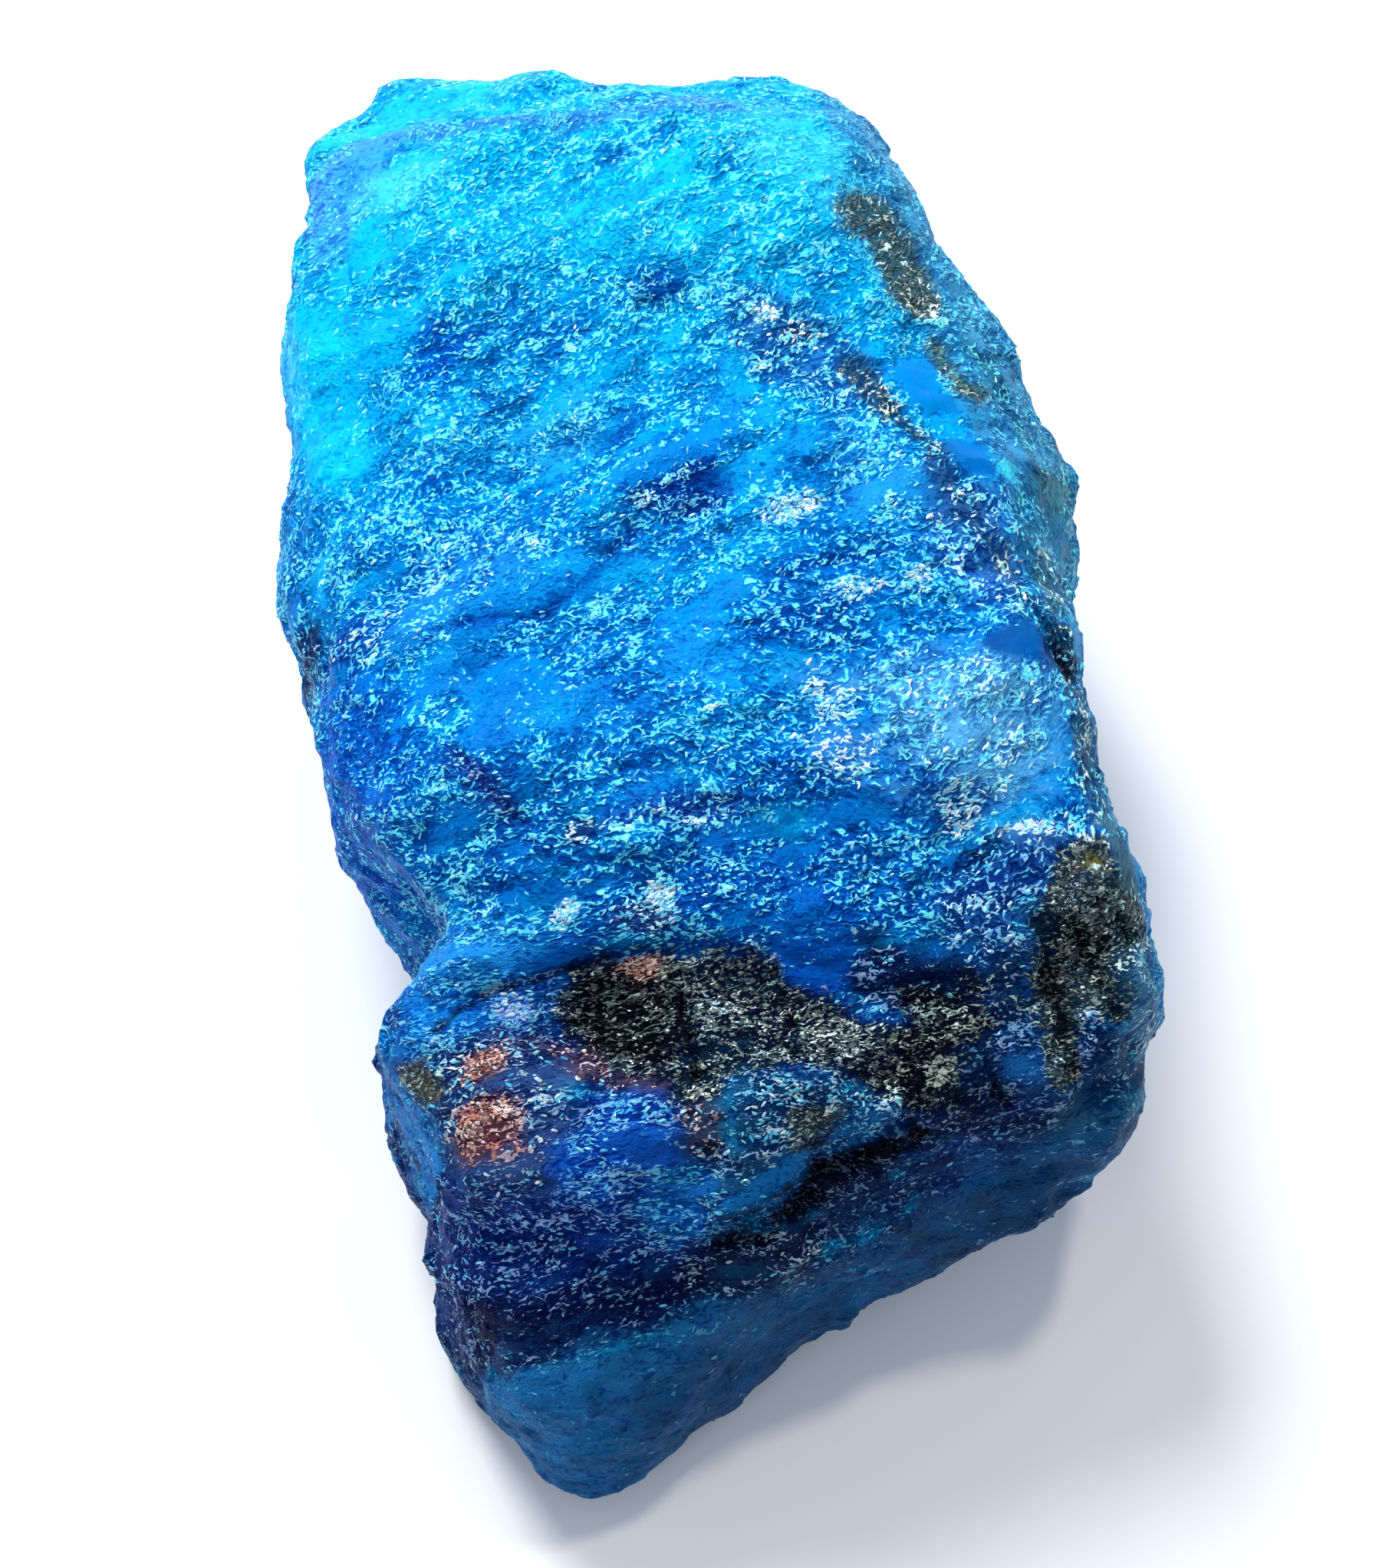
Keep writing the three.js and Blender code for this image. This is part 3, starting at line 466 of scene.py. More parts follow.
def depthInside(points, outline):
    # how far inside a closed outline on the plan each point lies, below 0 outside it
    closed = outline + outline[:1]
    inside = np.zeros(len(points), dtype=bool)
    for start, end in zip(closed, closed[1:]):
        if start[1] != end[1]:
            beside = (start[1] > points[:, 1]) != (end[1] > points[:, 1])
            crossing = start[0] + (points[:, 1] - start[1]) * (end[0] - start[0]) / (end[1] - start[1])
            inside ^= beside & (points[:, 0] < crossing)
    nearest = distanceToPath(points, closed)
    return np.where(inside, nearest, -nearest)


def patchShare(points, ragged, patch):
    # how much of a patch lies at each point, from 0 to 1
    if "side" in patch:
        at, level = zip(*sorted(patch["line"]))
        if patch["side"] == "near":
            beyond = np.interp(points[:, 0], at, level) - points[:, 1]
        else:
            beyond = points[:, 0] - np.interp(points[:, 1], at, level)
        return smooth(beyond - ragged, *edges["side"])
    if "outline" in patch:
        low, high = np.multiply(edges["area"], patch.get("fade", edges["fade"]))
        return smooth(depthInside(points, patch["outline"]) - edges["areaFray"] * ragged, low, high)
    angle = math.radians(patch["turn"])
    dx = points[:, 0] - patch["at"][0]
    dy = points[:, 1] - patch["at"][1]
    along = (dx * math.cos(angle) + dy * math.sin(angle)) / patch["size"][0]
    across = (dy * math.cos(angle) - dx * math.sin(angle)) / patch["size"][1]
    return 1 - smooth(np.hypot(along, across) + ragged, *edges["oval"])


def lineShare(points, ragged, line):
    # how near each point is to a line on the plan, from 1 on it to 0 beside it
    away = distanceToPath(points, line["path"]) / line["width"]
    return 1 - smooth(away + edges["traceFray"] * ragged, *edges["trace"])


def upwardOf(normals):
    return smooth(normals[:, 2], *skinLook["upward"])


def skinLooks(points, normals):
    # what the stone is like at each point: its tint and the share of each thing on it
    flow = flowOf(points)
    drift = points[:, 1] + layered(points, flow, skinLook["wander"])
    tint = alongStops(drift, skinLook["alongStone"])
    streaks = layered(points, flow, skinLook["streaks"])
    for name, share in (("lightStreak", streaks), ("darkStreak", -streaks)):
        tint = mix(tint, skinLook[name], skinLook["streak"] * smooth(share, *skinLook["streakEase"]))
    plain = skinLook["plain"]
    looks = {name: np.full(len(points), share) for name, share in plain.items()}
    ragged = layered(points, flow, skinLook["ragged"])
    mottle = layered(points, flow, skinLook["mottles"])
    up = upwardOf(normals)
    for patch in patches:
        share = patchShare(points, ragged, patch) * up
        mottled = patch["tint"] * (1 + patch.get("mottle", skinLook["mottle"]) * mottle)[:, None]
        tint = mix(tint, mottled, share * skinLook["patchTint"])
        for name in plain:
            looks[name] = mix(looks[name], patch.get(name, plain[name]), share)
    looks["shine"] = looks["shine"] * alongStops(drift, skinLook["shineStops"])
    # lines paint shade into cracks and the foot of steps, and a highlight along ridges
    for line in lines:
        share = lineShare(points, ragged, line) * up
        tint = mix(tint, line["tint"], skinLook["lineTint"] * share)
        looks["shine"] = mix(looks["shine"], line["shine"], share)
    under = skinLook["under"]
    below = smooth(-normals[:, 2], *skinLook["downward"])
    tint = mix(tint, under["tint"], under["share"] * below)
    for name in ("calm", "flecks"):
        looks[name] = mix(looks[name], under[name], below)
    drifts = layered(points, flow, skinLook["drifts"])
    clear = smooth(-drifts, *skinLook["clearEase"]) * (1 - looks["mica"])
    looks["calm"] = np.maximum(looks["calm"], skinLook["clearCalm"] * clear)
    looks["flecks"] = looks["flecks"] * (1 + skinLook["fleckDrift"] * drifts)
    return flow, tint, looks


def trimRim(points):
    # shifts the stone's outline on the plan, by bearing, and less towards its middle
    rim = stone["rim"]
    away = points[:, :2] - rim["middle"]
    radius = np.hypot(*away.T)
    bearing = np.degrees(np.arctan2(away[:, 1], away[:, 0])) % 360
    widest = np.zeros(360 // rim["step"])
    np.maximum.at(widest, (bearing // rim["step"]).astype(int) % len(widest), radius)
    middles = (np.arange(len(widest)) + 0.5) * rim["step"]
    share = smooth(radius - np.interp(bearing, middles, widest, period=360), -rim["reach"], 0)
    at, shift = zip(*rim["shifts"])
    shift = np.interp(bearing, at, shift, period=360)
    points[:, :2] += away * (shift * share / np.maximum(radius, 1))[:, None]


def stoneRelief(points, looks, up):
    # how far the skin stands out from the solid: ledges, breaks, chips, pits, cracks and raised lobes
    ledges = stone["ledges"]
    grained = alongGrain(points, stone["grainTurn"], ledges["stretch"])
    rise = softNoise(grained, ledges["size"], ledges["seed"]) * ledges["steps"]
    step = np.floor(rise) + smooth(rise - np.floor(rise), *ledges["riser"])
    relief = ledges["depth"] * (step / ledges["steps"])
    for name in ("shards", "chips"):
        settings = stone[name]
        grained = alongGrain(points, stone["grainTurn"], settings["stretch"])
        relief += settings["depth"] * shards(grained, settings["size"], settings["seed"])
    relief += stone["pits"]["depth"] * softNoise(points, stone["pits"]["size"], stone["pits"]["seed"])
    walls = stone["wallShare"] + (1 - stone["wallShare"]) * up
    relief *= (1 - stone["calmLoss"] * looks["calm"]) * walls
    ragged = layered(points, flowOf(points), skinLook["ragged"])
    for line in lines:
        relief -= line["depth"] * lineShare(points, ragged, line) * up
    for patch in patches:
        if "lift" in patch:
            relief += patch["lift"] * patchShare(points, ragged, patch) * up
    return relief * smooth(points[:, 2], 0, stone["baseBlend"])


def readAll(source, name, width, kind=float):
    values = np.empty(len(source) * width, dtype=kind)
    source.foreach_get(name, values)
    return values.reshape(-1, width)


def store(mesh, name, values):
    # keeps numbers, places or colours on the points, for the finish to read by name
    kinds = {1: ("FLOAT", "value"), 3: ("FLOAT_VECTOR", "vector"), 4: ("FLOAT_COLOR", "color")}
    kind, field = kinds[values.size // len(values)]
    mesh.attributes.new(name, kind, "POINT").data.foreach_set(field, values.ravel())


def opaque(tint):
    return np.pad(tint, ((0, 0), (0, 1)), constant_values=1)


def addObject(name, data):
    thing = bpy.data.objects.new(name, data)
    bpy.context.scene.collection.objects.link(thing)
    return thing


def makeStone():
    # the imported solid's own mesh, made finer, with the relief of its breaks
    skin = addObject("sapphireSkin", frame["nodes"]["rough_sapphire"].data.copy())
    fine = skin.modifiers.new("fine", "REMESH")
    fine.mode = "VOXEL"
    fine.voxel_size = stone["point"] * mm
    soften = skin.modifiers.new("soften", "SMOOTH")
    soften.iterations = stone["soften"]
    ready = bpy.data.meshes.new_from_object(skin.evaluated_get(bpy.context.evaluated_depsgraph_get()))
    skin.modifiers.clear()
    skin.data = ready
    points = readAll(ready.vertices, "co", 3) / mm
    normals = readAll(ready.vertex_normals, "vector", 3)
    trimRim(points)
    looks = skinLooks(points, normals)[2]
    points += normals * stoneRelief(points, looks, upwardOf(normals))[:, None]
    points[:, 2] = np.maximum(points[:, 2], 0)
    ready.vertices.foreach_set("co", (points * mm).ravel())
    ready.update()
    flow, tint, looks = skinLooks(points, readAll(ready.vertex_normals, "vector", 3))
    store(ready, "flow", flow)
    store(ready, "tint", opaque(tint))
    for name, values in looks.items():
        store(ready, name, values)
    ready.polygons.foreach_set("use_smooth", np.ones(len(ready.polygons), dtype=bool))
    ready.set_sharp_from_angle(angle=math.radians(stone["crease"]))
    ready.update()
    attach(skin, "root")
    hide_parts("rough_sapphire")
    print("stone skin:", len(ready.polygons), "faces")
    return skin


class Wire:
    # a socket that can be used in plain expressions: 1 - mask, grain * 0.4 + 0.2
    def __init__(self, finish, socket):
        self.finish = finish
        self.socket = socket

    def maths(self, operation, first, second):
        return self.finish.add("ShaderNodeMath", {"operation": operation}, {0: first, 1: second})

    def __add__(self, other):
        return self.maths("ADD", self, other)

    def __sub__(self, other):
        return self.maths("SUBTRACT", self, other)

    def __rsub__(self, other):
        return self.maths("SUBTRACT", other, self)

    def __mul__(self, other):
        return self.maths("MULTIPLY", self, other)

    __radd__ = __add__
    __rmul__ = __mul__


class Finish:
    def __init__(self, name):
        self.material = bpy.data.materials.new(name)
        self.material.use_nodes = True
        self.tree = self.material.node_tree
        self.shader = self.tree.nodes["Principled BSDF"]

    # settings go first, then the values or links of the sockets
    def add(self, kind, settings, inputs, output=0):
        node = self.tree.nodes.new(kind)
        for name, value in settings.items():
            if name == "stops":
                self.setStops(node.color_ramp, value)
            else:
                setattr(node, name, value)
        for name, value in inputs.items():
            self.feed(node.inputs[name], value)
        return Wire(self, node.outputs[output])

    def setStops(self, ramp, stops):
        while len(ramp.elements) < len(stops):
            ramp.elements.new(0)
        for element, (place, tint) in zip(ramp.elements, stops):
            element.position = place
            element.color = (*tint, 1)
        ramp.interpolation = "LINEAR"

    def feed(self, socket, value):
        if isinstance(value, Wire):
            self.tree.links.new(value.socket, socket)
        elif np.ndim(value) and socket.type == "RGBA":
            socket.default_value = (*value, 1)
        else:
            socket.default_value = value

    def show(self, **inputs):
        for name, value in inputs.items():
            self.feed(self.shader.inputs[name.replace("_", " ")], value)

    def look(self, name, output="Fac"):
        return self.add("ShaderNodeAttribute", {"attribute_name": name}, {}, output)

    def noise(self, place, size, detail, output=0, **inputs):
        inputs = {"Vector": place, "Scale": 1 / size, "Detail": detail, **inputs}
        return self.add("ShaderNodeTexNoise", {}, inputs, output)

    def blend(self, factor, first, second, way="MIX"):
        settings = {"data_type": "RGBA", "blend_type": way}
        return self.add("ShaderNodeMix", settings, {0: factor, 6: first, 7: second}, 2)

    def vector(self, operation, *parts):
        return self.add("ShaderNodeVectorMath", {"operation": operation}, dict(enumerate(parts)))

    def ease(self, value, low, high):
        settings = {"interpolation_type": "SMOOTHSTEP"}
        return self.add("ShaderNodeMapRange", settings, {"Value": value, "From Min": low, "From Max": high})


skinFinish = {
    # sizes in millimetres; stretch along the grain
    "curls": {"size": 0.6, "reach": 0.95, "detail": 2.0},      # bends all that is drawn on the skin
    "fleck": {"size": 0.39, "stretch": 1.6, "detail": 0.0, "narrow": 1.7},
    "crumb": {"size": 0.21, "stretch": 1.5, "detail": 0.8, "share": 1.5, "more": 0.065},
    "lump": {"size": 1.0, "stretch": 2.2, "detail": 1.0},
    "roughGrain": 0.6,
    "shadow": (-0.035, 0.1, 0.025),     # where a fleck's painted shadow, a dark edge, lies from it
    "cell": {"size": 0.34, "stretch": 1.8},
    "facet": {"size": 1.3, "stretch": 1.7},
    "facetShade": 0.25,                 # how much darker some facets are
    "pale": paint(108, 246, 255),       # pale flecks in the clean blue: pale grain with painted glints
    "cool": paint(164, 202, 255),       # and in the dark blue
    # painted white glints on the flecks
    "white": paint(232, 253, 250),
    "copper": paint(226, 152, 122),
    "rose": paint(252, 230, 228),
    "shaded": (0.04, 0.24, 0.5),          # painted shade: what the gaps between grains, the flecks' shadowed edges and the darker facets keep of the tint
    "shadedWarm": (0.2, 0.22, 0.34),      # and in the coppery parts
    "mica": [
        (0.15, paint(1, 1, 2)), (0.38, paint(3, 5, 6)), (0.48, paint(24, 30, 32)),
        (0.58, paint(88, 98, 98)), (0.69, paint(176, 186, 182)), (0.8, paint(246, 248, 242)),
    ],
    # painted shade: the mica goes this dark where the shine is low, as in cracks
    "micaShaded": paint(1, 2, 4),
    "micaTint": 0.24,                   # how much of the tint shines through the mica
    "olive": (0.92, 0.98, 0.86),
    "slate": (0.64, 0.9, 1.0),
    "greenShade": 0.95,                 # how much less the lighter blues are darkened
    # what each height or colour is made of, besides its own look
    "level": {"flecks": 0.3, "facet": 0.12, "white": 0.03},
    "whiter": {"lump": 1.5, "chance": 0.6},
    "warmer": {"lump": 1.5, "fleck": 0.5},
    "streaks": {"crumb": 0.3, "fleck": 0.75, "lump": 0.62, "facet": 0.24},
    "fray": {"lump": 2.2, "fleck": 1.2, "facet": 0.5},
    "micaLevel": 0.49,
    # where each thing begins, and where it is full
    "gapWarmEase": (0.05, 0.5), "lightEase": (0.06, 0.14), "fleckShadowEase": (0.05, 0.13), "gapEase": (0.05, 0.3),
    "paleEase": (0.03, 0.13), "whiteEase": (0.58, 1.35), "copperEase": (0.05, 0.15), "warmEase": (0.3, 0.6),
    "roseEase": (0.2, 0.6), "micaShineEase": (0.0, 0.9), "micaEase": (0.05, 0.2), "frayEase": (0.3, 0.62),
    # how much of a value counts, and what is there without it
    "fleckStrength": (1.2, 0.05), "fleckShadowStrength": (0.4, 0.5), "fleckShine": (0.6, 0.5),
    "bump": 0.7, "bumpDepth": 0.06, "bumpRise": 4,
    "tilt": 0.4, "facetTilt": 0.3,      # of the cells' and the facets' own normals
    "roughness": 0.34, "ior": 1.6, "gloss": 0.015,
}


def makeSkinFinish():
    finish = Finish("sapphireBlue")
    own = skinFinish
    flow = finish.look("flow", "Vector")
    calm, flecks, shine, white, mica, copper = (finish.look(name) for name in skinLook["plain"])
    tint = finish.look("tint", "Color")
    curls = own["curls"]
    waves = finish.noise(flow, curls["size"], curls["detail"], "Color")
    bent = finish.vector("MULTIPLY_ADD", waves, (curls["reach"],) * 3, flow)

    def drawn(settings, shift=(0, 0, 0)):
        return finish.vector("MULTIPLY_ADD", bent, (1 / settings["stretch"], 1, 1), shift)

    def grain(settings, shift=(0, 0, 0)):
        place = drawn(settings, shift)
        return finish.noise(place, settings["size"], settings["detail"], Roughness=own["roughGrain"]) - 0.5

    def winding(shift=(0, 0, 0)):
        # narrow winding flecks: level lines of one noise, broken up by a finer one
        away = finish.add("ShaderNodeMath", {"operation": "ABSOLUTE"}, {0: grain(own["fleck"], shift)})
        crumb = grain(own["crumb"], shift)
        return crumb * own["crumb"]["share"] + own["crumb"]["more"] - away * own["fleck"]["narrow"], crumb

    def scattered(settings):
        # each place takes the colour of its nearest cell, and two numbers from it
        place = {"Vector": drawn(settings), "Scale": 1 / settings["size"]}
        cells = finish.add("ShaderNodeTexVoronoi", {}, place, 1)
        first = finish.add("ShaderNodeSeparateColor", {}, {"Color": cells})
        return cells, first, Wire(finish, first.socket.node.outputs[1])

    def ease(value, name):
        return finish.ease(value, *own[name])

    def counted(value, name):
        return value * own[name][0] + own[name][1]

    fleck, crumb = winding()
    raised = winding(own["shadow"])[0]
    lump = grain(own["lump"])
    lively = 1 - calm
    cell, chance, second = scattered(own["cell"])
    facet, facetShade, facetGrain = scattered(own["facet"])
    parts = {"fleck": fleck, "crumb": crumb, "lump": lump, "chance": chance, "white": white,
             "flecks": flecks - 0.5, "facet": facetGrain - 0.5}

    def weigh(total, name):
        for part, share in own[name].items():
            total = total + parts[part] * share
        return total

    # the blue: dark gaps of painted shade, clear stone and pale flecks (pale grain with painted glints) with
    # a dark edge of painted shadow, by how high the grain stands
    kept = finish.blend(ease(copper, "gapWarmEase"), own["shaded"], own["shadedWarm"])
    shaded = finish.blend(1.0, tint, kept, "MULTIPLY")
    green = finish.add("ShaderNodeSeparateColor", {}, {"Color": tint}, 1)
    shade = 1 - green * own["greenShade"]
    clean = finish.blend(facetShade * shade * own["facetShade"], tint, shaded)
    strength = counted(lively, "fleckStrength")
    level = weigh(lump * lively, "level")
    rise = fleck * strength + level
    light = ease(rise, "lightEase")
    # a painted shadow on one side of each fleck, from the flecks a little shifted
    fleckShadow = ease(raised * strength + level, "fleckShadowEase") * (1 - light)
    # painted shade in the gaps, where the grain lies low
    blue = finish.blend(ease(0 - rise, "gapEase") * shade, clean, shaded)
    blue = finish.blend(fleckShadow * shade * counted(lively, "fleckShadowStrength"), blue, shaded)
    pale = finish.blend(ease(green, "paleEase"), own["cool"], own["pale"])
    pale = finish.blend(ease(weigh(white, "whiter"), "whiteEase"), pale, own["white"])
    coppery = ease(copper, "copperEase") * ease(weigh(copper, "warmer"), "warmEase")
    pale = finish.blend(coppery, pale, finish.blend(ease(second, "roseEase"), own["copper"], own["rose"]))
    blue = finish.blend(light * shine * counted(chance, "fleckShine"), blue, pale)

    # black mica with grey and olive flecks lies in the blue with a frayed edge; where the shine is low, as in
    # cracks, it takes painted shade
    streaks = weigh(own["micaLevel"], "streaks")
    ground = finish.add("ShaderNodeValToRGB", {"stops": own["mica"]}, {"Fac": streaks})
    cast = finish.blend(facetShade, own["slate"], own["olive"])
    ground = finish.blend(1.0, ground, cast, "MULTIPLY")
    ground = finish.blend(ease(shine, "micaShineEase"), own["micaShaded"], ground)
    ground = finish.blend(own["micaTint"], ground, tint, "ADD")
    fray = ease(mica, "micaEase") * ease(weigh(mica, "fray"), "frayEase")
    finish.show(Base_Color=finish.blend(fray, blue, ground))

    def tilted(colour, strength):
        turn = finish.vector("SUBTRACT", colour, (0.5, 0.5, 0.5))
        return finish.add("ShaderNodeVectorMath", {"operation": "SCALE"}, {0: turn, "Scale": strength})

    normal = finish.add("ShaderNodeNewGeometry", {}, {}, "Normal")
    normal = finish.vector("ADD", normal, tilted(cell, lively * own["tilt"]))
    normal = finish.vector("ADD", normal, tilted(facet, own["facetTilt"]))
    bumped = finish.add("ShaderNodeBump", {}, {
        "Strength": own["bump"], "Distance": own["bumpDepth"] * mm, "Height": rise * own["bumpRise"],
        "Normal": finish.vector("NORMALIZE", normal),
    })
    finish.show(Normal=bumped, Roughness=own["roughness"], IOR=own["ior"], Specular_IOR_Level=own["gloss"])
    return finish.material


stoneSkin = makeStone()
stoneSkin.data.materials.clear()
stoneSkin.data.materials.append(makeSkinFinish())


# grains and scales that stand a little out of the skin; lengths in millimetres, the rest are shares
grainKinds = [
    {
        # pale grain whose bright tints are partly painted glints
        "name": "paleGrains", "seed": 101, "count": 9000, "on": "flecks", "off": ("mica", "copper"),
        "power": 3, "length": (0.24, 0.5), "width": (0.26, 0.48), "height": 0.12, "bend": 0.6, "tilt": 0.3,
        "lift": 0.1, "lighten": (0.5, 1.0),
        "tints": [paint(86, 228, 255), paint(60, 208, 252), paint(150, 246, 255)],
    },
    {
        # white grains where the skin has painted glints; their near-white tints are painted glints too
        "name": "whiteGlints", "seed": 102, "count": 700, "on": "white", "off": ("mica", "copper"),
        "power": 3, "length": (0.24, 0.5), "width": (0.3, 0.5), "height": 0.14, "bend": 0.6, "tilt": 0.4,
        "lift": 0.15, "lighten": (0.8, 1.0),
        "tints": [paint(216, 246, 248), paint(244, 254, 252), paint(188, 240, 250)],
    },
    {
        "name": "micaScales", "seed": 103, "count": 3000, "on": "mica", "off": (),
        "power": 2, "length": (0.16, 0.4), "width": (0.3, 0.6), "height": 0.08, "bend": 0.4, "tilt": 0.5,
        "lift": 0.1, "lighten": (0.7, 1.0),
        "tints": [paint(26, 32, 34), paint(92, 98, 94), paint(12, 16, 20), paint(140, 152, 146),
                  paint(84, 92, 66), paint(56, 80, 92), paint(6, 8, 10)],
    },
    {
        "name": "copperScales", "seed": 104, "count": 500, "on": "copper", "off": (),
        "power": 2, "length": (0.16, 0.36), "width": (0.4, 0.7), "height": 0.12, "bend": 0.3, "tilt": 0.5,
        "lift": 0.1, "lighten": (0.7, 1.0),
        "tints": [paint(222, 150, 122), paint(150, 84, 70), paint(250, 224, 208), paint(106, 58, 52)],
    },
]
grainShape = {
    "ring": 6,                  # corners round each grain
    "jitter": 0.25,             # how far each corner strays round the ring, in corners
    "reach": (0.75, 1.1),       # and outwards
    "uneven": 0.2,              # and up or down
    "peak": 0.3,                # how far the top strays from the middle
    "climb": 0.15,              # how much the grains point up out of the plan
    "lengthwise": 0.5,          # how much less they tilt along than across
    "keepOff": 1.6,             # how soon they give way to what they keep off
    "lowest": 0.5,              # none lie nearer to the floor than this
    "way": {"farTurn": 26, "nearTurn": 4, "farY": -6, "nearY": -16},
    "spread": 32,               # degrees
}
grainFinish = {"size": 0.4, "detail": 1.0, "shade": (0.62, 0.7, 0.78), "shadeEase": (0.3, 0.6),
               "roughness": 0.08, "rougher": 0.3, "ior": 1.6, "gloss": 0.5}


def lengthsOf(vectors):
    return np.sqrt((vectors ** 2).sum(axis=1, keepdims=True))


def unit(vectors):
    return vectors / np.maximum(lengthsOf(vectors), 1e-9)


def squareTo(vectors, axis):
    return unit(vectors - axis * (vectors * axis).sum(axis=1, keepdims=True))


def lookOf(mesh, name):
    return readAll(mesh.attributes[name].data, "value", 1)[:, 0]


def scatter(mesh, kind, draw):
    # places on the skin, thicker where the look is stronger, with the skin's normal, tint and shine there
    count = kind["count"]
    mesh.calc_loop_triangles()
    corners = readAll(mesh.loop_triangles, "vertices", 3, np.int64)
    points = readAll(mesh.vertices, "co", 3) / mm
    tint = readAll(mesh.attributes["tint"].data, "color", 4)[:, :3]
    shine = lookOf(mesh, "shine")
    share = np.maximum(lookOf(mesh, kind["on"]), 0) ** kind["power"]
    share = share * np.maximum(1 - lookOf(mesh, "calm"), 0) * shine
    for name in kind["off"]:
        share = share * np.clip(1 - grainShape["keepOff"] * lookOf(mesh, name), 0, 1)
    a, b, c = (points[corners[:, i]] for i in range(3))
    across = np.cross(b - a, c - a)
    high = c[:, 2] > grainShape["lowest"]
    weight = lengthsOf(across)[:, 0] * share[corners].mean(axis=1) * high
    chosen = draw.choice(len(corners), count, p=weight / weight.sum())
    first, second = draw.random(count), draw.random(count)
    over = first + second > 1
    first = np.where(over, 1 - first, first)[:, None]
    second = np.where(over, 1 - second, second)[:, None]
    places = a[chosen] + (b - a)[chosen] * first + (c - a)[chosen] * second
    nearest = corners[chosen, 0]
    return places, unit(across[chosen]), tint[nearest], shine[nearest]


def grainAxes(places, normals, kind, draw):
    # each grain's own long, wide and upward ways
    count = len(places)
    turn = np.radians(turnAt(places, grainShape["way"]) + draw.normal(0, grainShape["spread"], count))
    along = np.stack([np.cos(turn), np.sin(turn), np.full(count, grainShape["climb"])], axis=1)
    along = squareTo(along, normals)
    across = np.cross(normals, along)
    lean = draw.uniform(-1, 1, (2, count, 1)) * kind["tilt"]
    up = unit(normals + along * lean[0] * grainShape["lengthwise"] + across * lean[1])
    along = squareTo(along, up)
    return along, np.cross(up, along), up


def grainFaces(count):
    # a ring of faces above and one below for every grain, whose last two corners are its top and foot
    corners = grainShape["ring"]
    ring = np.arange(corners)
    following = (ring + 1) % corners
    above = np.stack([ring, following, np.full(corners, corners)], axis=1)
    below = np.stack([following, ring, np.full(corners, corners + 1)], axis=1)
    faces = np.concatenate([above, below])
    return (faces[None] + (np.arange(count) * (corners + 2))[:, None, None]).reshape(-1, 3)


def makeGrains(skin, kind, gloss):
    draw = np.random.default_rng(kind["seed"])
    count = kind["count"]
    places, normals, tint, shine = scatter(skin.data, kind, draw)
    along, across, up = grainAxes(places, normals, kind, draw)
    length = draw.uniform(*kind["length"], count)
    width = length * draw.uniform(*kind["width"], count)
    rise = length * kind["height"]
    middle = places + normals * (rise * kind["lift"])[:, None]
    bend = draw.uniform(-1, 1, count) * kind["bend"]

    def offset(x, y, z):
        return along * (x * length / 2)[:, None] + across * (y * width / 2)[:, None] + up * z[:, None]

    def stray(most, *size):
        return draw.uniform(-most, most, (*size, count))

    corners = []
    for step in range(grainShape["ring"]):
        angle = 2 * math.pi * (step + stray(grainShape["jitter"])) / grainShape["ring"]
        reach = draw.uniform(*grainShape["reach"], count)
        x = np.cos(angle) * reach
        y = np.sin(angle) * reach + bend * x * x
        corners.append(middle + offset(x, y, stray(grainShape["uneven"]) * rise))
    corners += [middle + offset(*stray(grainShape["peak"], 2), rise), middle - up * rise[:, None]]
    points = np.stack(corners, axis=1)
    points[:, :, 2] = np.maximum(points[:, :, 2], 0)

    mesh = bpy.data.meshes.new(kind["name"])
    mesh.from_pydata(points.reshape(-1, 3) * mm, [], grainFaces(count))
    chosen = np.array(kind["tints"])[draw.integers(0, len(kind["tints"]), count)]
    lighten = draw.uniform(*kind["lighten"], count) * np.clip(shine, 0, 1)
    store(mesh, "tint", np.repeat(opaque(mix(tint, chosen, lighten)), len(corners), axis=0))
    mesh.materials.append(gloss)
    piece = addObject(kind["name"], mesh)
    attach(piece, "root")
    print(kind["name"] + ":", count, "grains")


def makeGrainFinish():
    finish = Finish("grainGloss")
    own = grainFinish
    place = finish.add("ShaderNodeTexCoord", {}, {}, "Object")
    patchy = finish.noise(place, own["size"] * mm, own["detail"])
    tint = finish.look("tint", "Color")
    shade = finish.blend(1.0, tint, own["shade"], "MULTIPLY")
    finish.show(Base_Color=finish.blend(finish.ease(patchy, *own["shadeEase"]), shade, tint))
    rough = patchy * own["rougher"] + own["roughness"]
    finish.show(Roughness=rough, IOR=own["ior"], Specular_IOR_Level=own["gloss"])
    return finish.material


gloss = makeGrainFinish()
for kind in grainKinds:
    makeGrains(stoneSkin, kind, gloss)


# floor, light and camera
studio = {
    "floor": paint(246, 247, 249), "floorSize": 2.4, "floorRoughness": 0.8,
    "sky": paint(226, 238, 252), "skyStrength": 0.48,
}
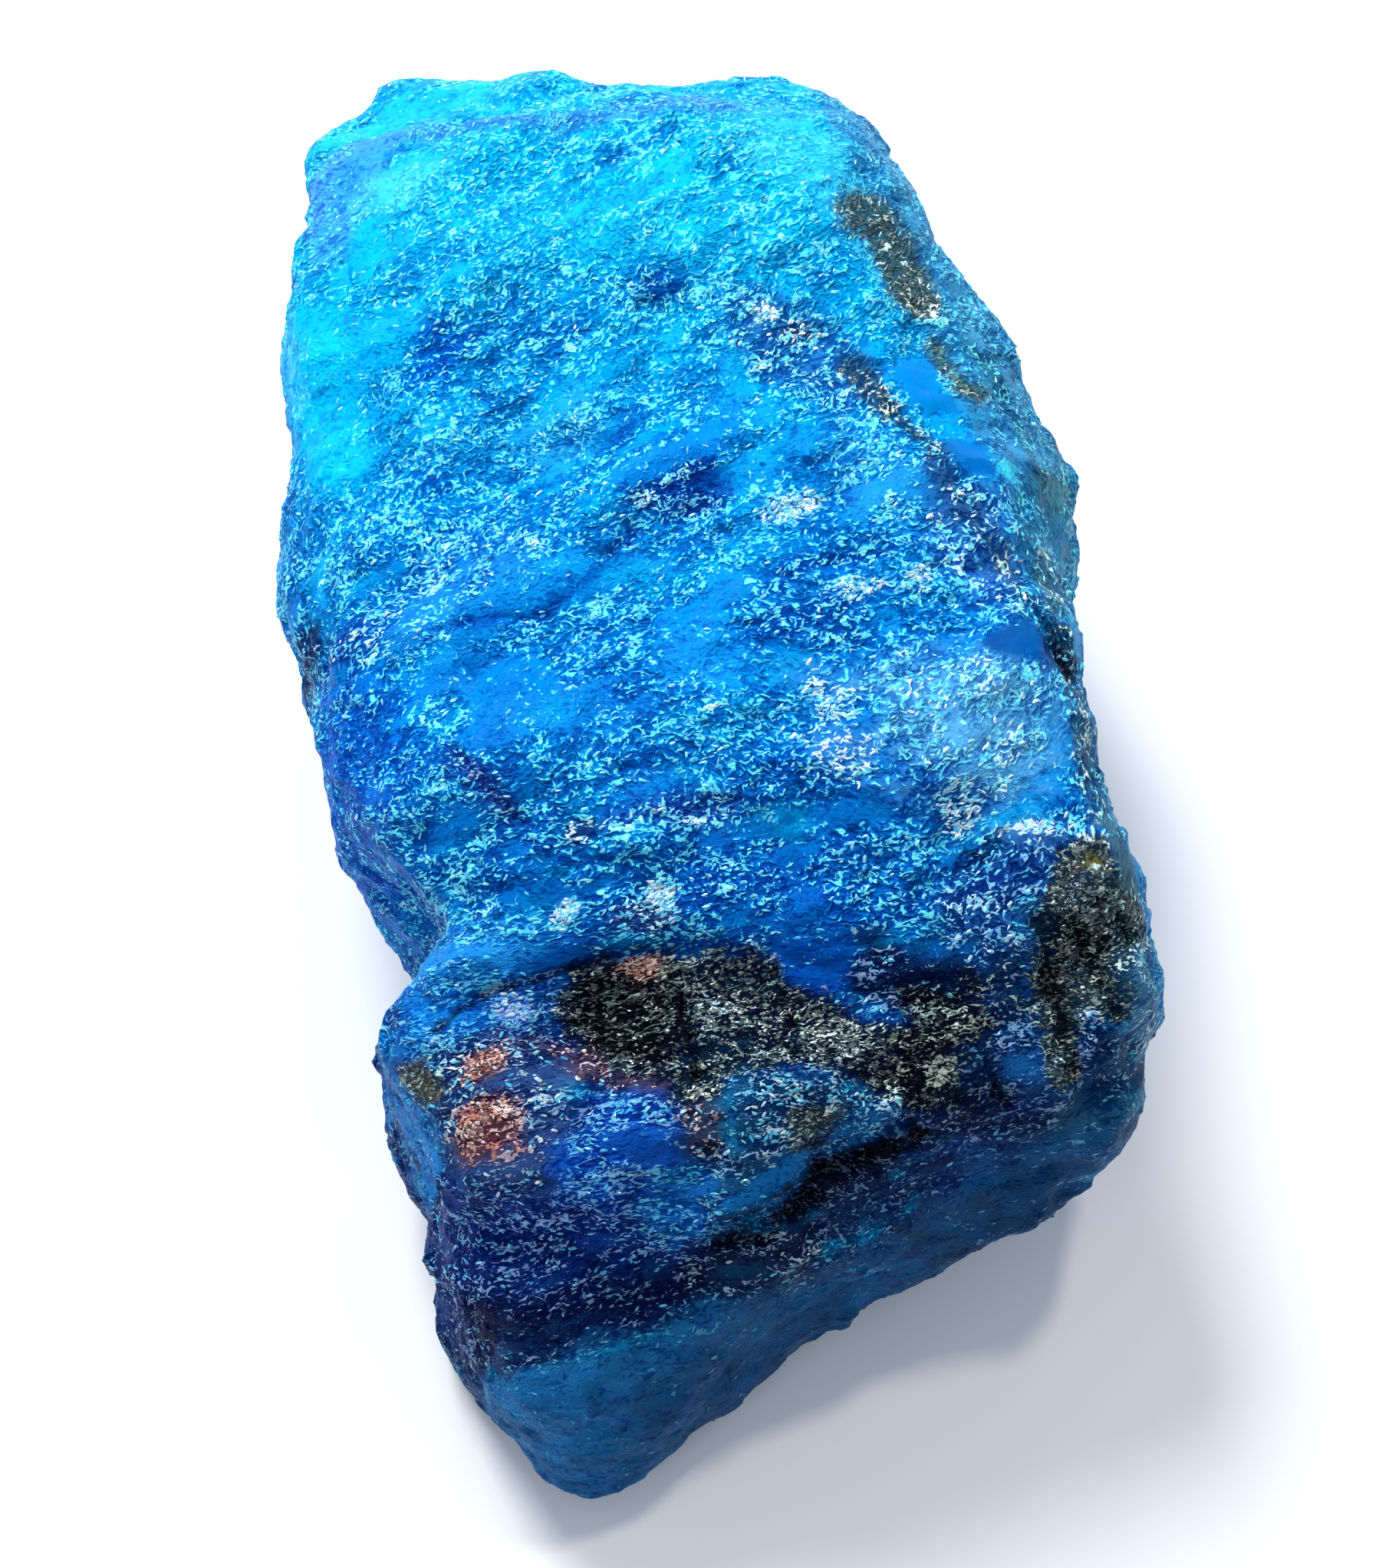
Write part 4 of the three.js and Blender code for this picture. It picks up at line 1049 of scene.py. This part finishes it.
# from: azimuth and elevation in degrees; away and size in metres
lamps = [
    {"name": "window", "from": (205, 46), "away": 0.75, "size": 0.3, "watts": 6.2, "tint": (1, 1, 1)},
    {"name": "spark", "from": (150, 64), "away": 0.8, "size": 0.07, "watts": 1.6, "tint": (1, 0.98, 0.95)},
    {"name": "fill", "from": (-35, 40), "away": 0.8, "size": 0.5, "watts": 0.8, "tint": (0.92, 0.96, 1)},
]
# away and target in millimetres
view = {"from": (0, 70), "away": 181.1, "target": (-0.8, -2.2, 12), "lens": 85, "sensor": 36, "nearest": 0.01}


def makeFloor():
    mesh = bpy.data.meshes.new("floor")
    half = studio["floorSize"] / 2
    corners = [(-half, -half, 0), (half, -half, 0), (half, half, 0), (-half, half, 0)]
    mesh.from_pydata(corners, [], [(0, 1, 2, 3)])
    finish = Finish("paleFloor")
    finish.show(Base_Color=studio["floor"], Roughness=studio["floorRoughness"])
    mesh.materials.append(finish.material)
    addObject("floor", mesh)


def aim(thing, target, settings, distance):
    # puts a lamp or the camera where it looks at the target from its azimuth and elevation
    turn, rise = (math.radians(angle) for angle in settings["from"])
    way = Vector((math.sin(turn) * math.cos(rise), -math.cos(turn) * math.cos(rise), math.sin(rise)))
    thing.location = target + way * distance
    thing.rotation_euler = way.to_track_quat("Z", "Y").to_euler()


def makeLamps(target):
    for lamp in lamps:
        data = bpy.data.lights.new(lamp["name"], "AREA")
        data.shape = "DISK"
        data.size = lamp["size"]
        data.energy = lamp["watts"]
        data.color = lamp["tint"]
        aim(addObject(lamp["name"], data), target, lamp, lamp["away"])
    world = bpy.data.worlds.new("sky")
    world.use_nodes = True
    sky = world.node_tree.nodes["Background"]
    sky.inputs["Color"].default_value = (*studio["sky"], 1)
    sky.inputs["Strength"].default_value = studio["skyStrength"]
    bpy.context.scene.world = world


def makeCamera(target):
    data = bpy.data.cameras.new("camera")
    data.lens = view["lens"]
    data.sensor_width = view["sensor"]
    data.clip_start = view["nearest"]
    camera = addObject("camera", data)
    aim(camera, target, view, view["away"] * mm)
    bpy.context.scene.camera = camera


makeFloor()
target = Vector(view["target"]) * mm
makeCamera(target)
makeLamps(target)
bpy.context.scene.view_settings.view_transform = "Standard"
print("floor, light and camera placed")
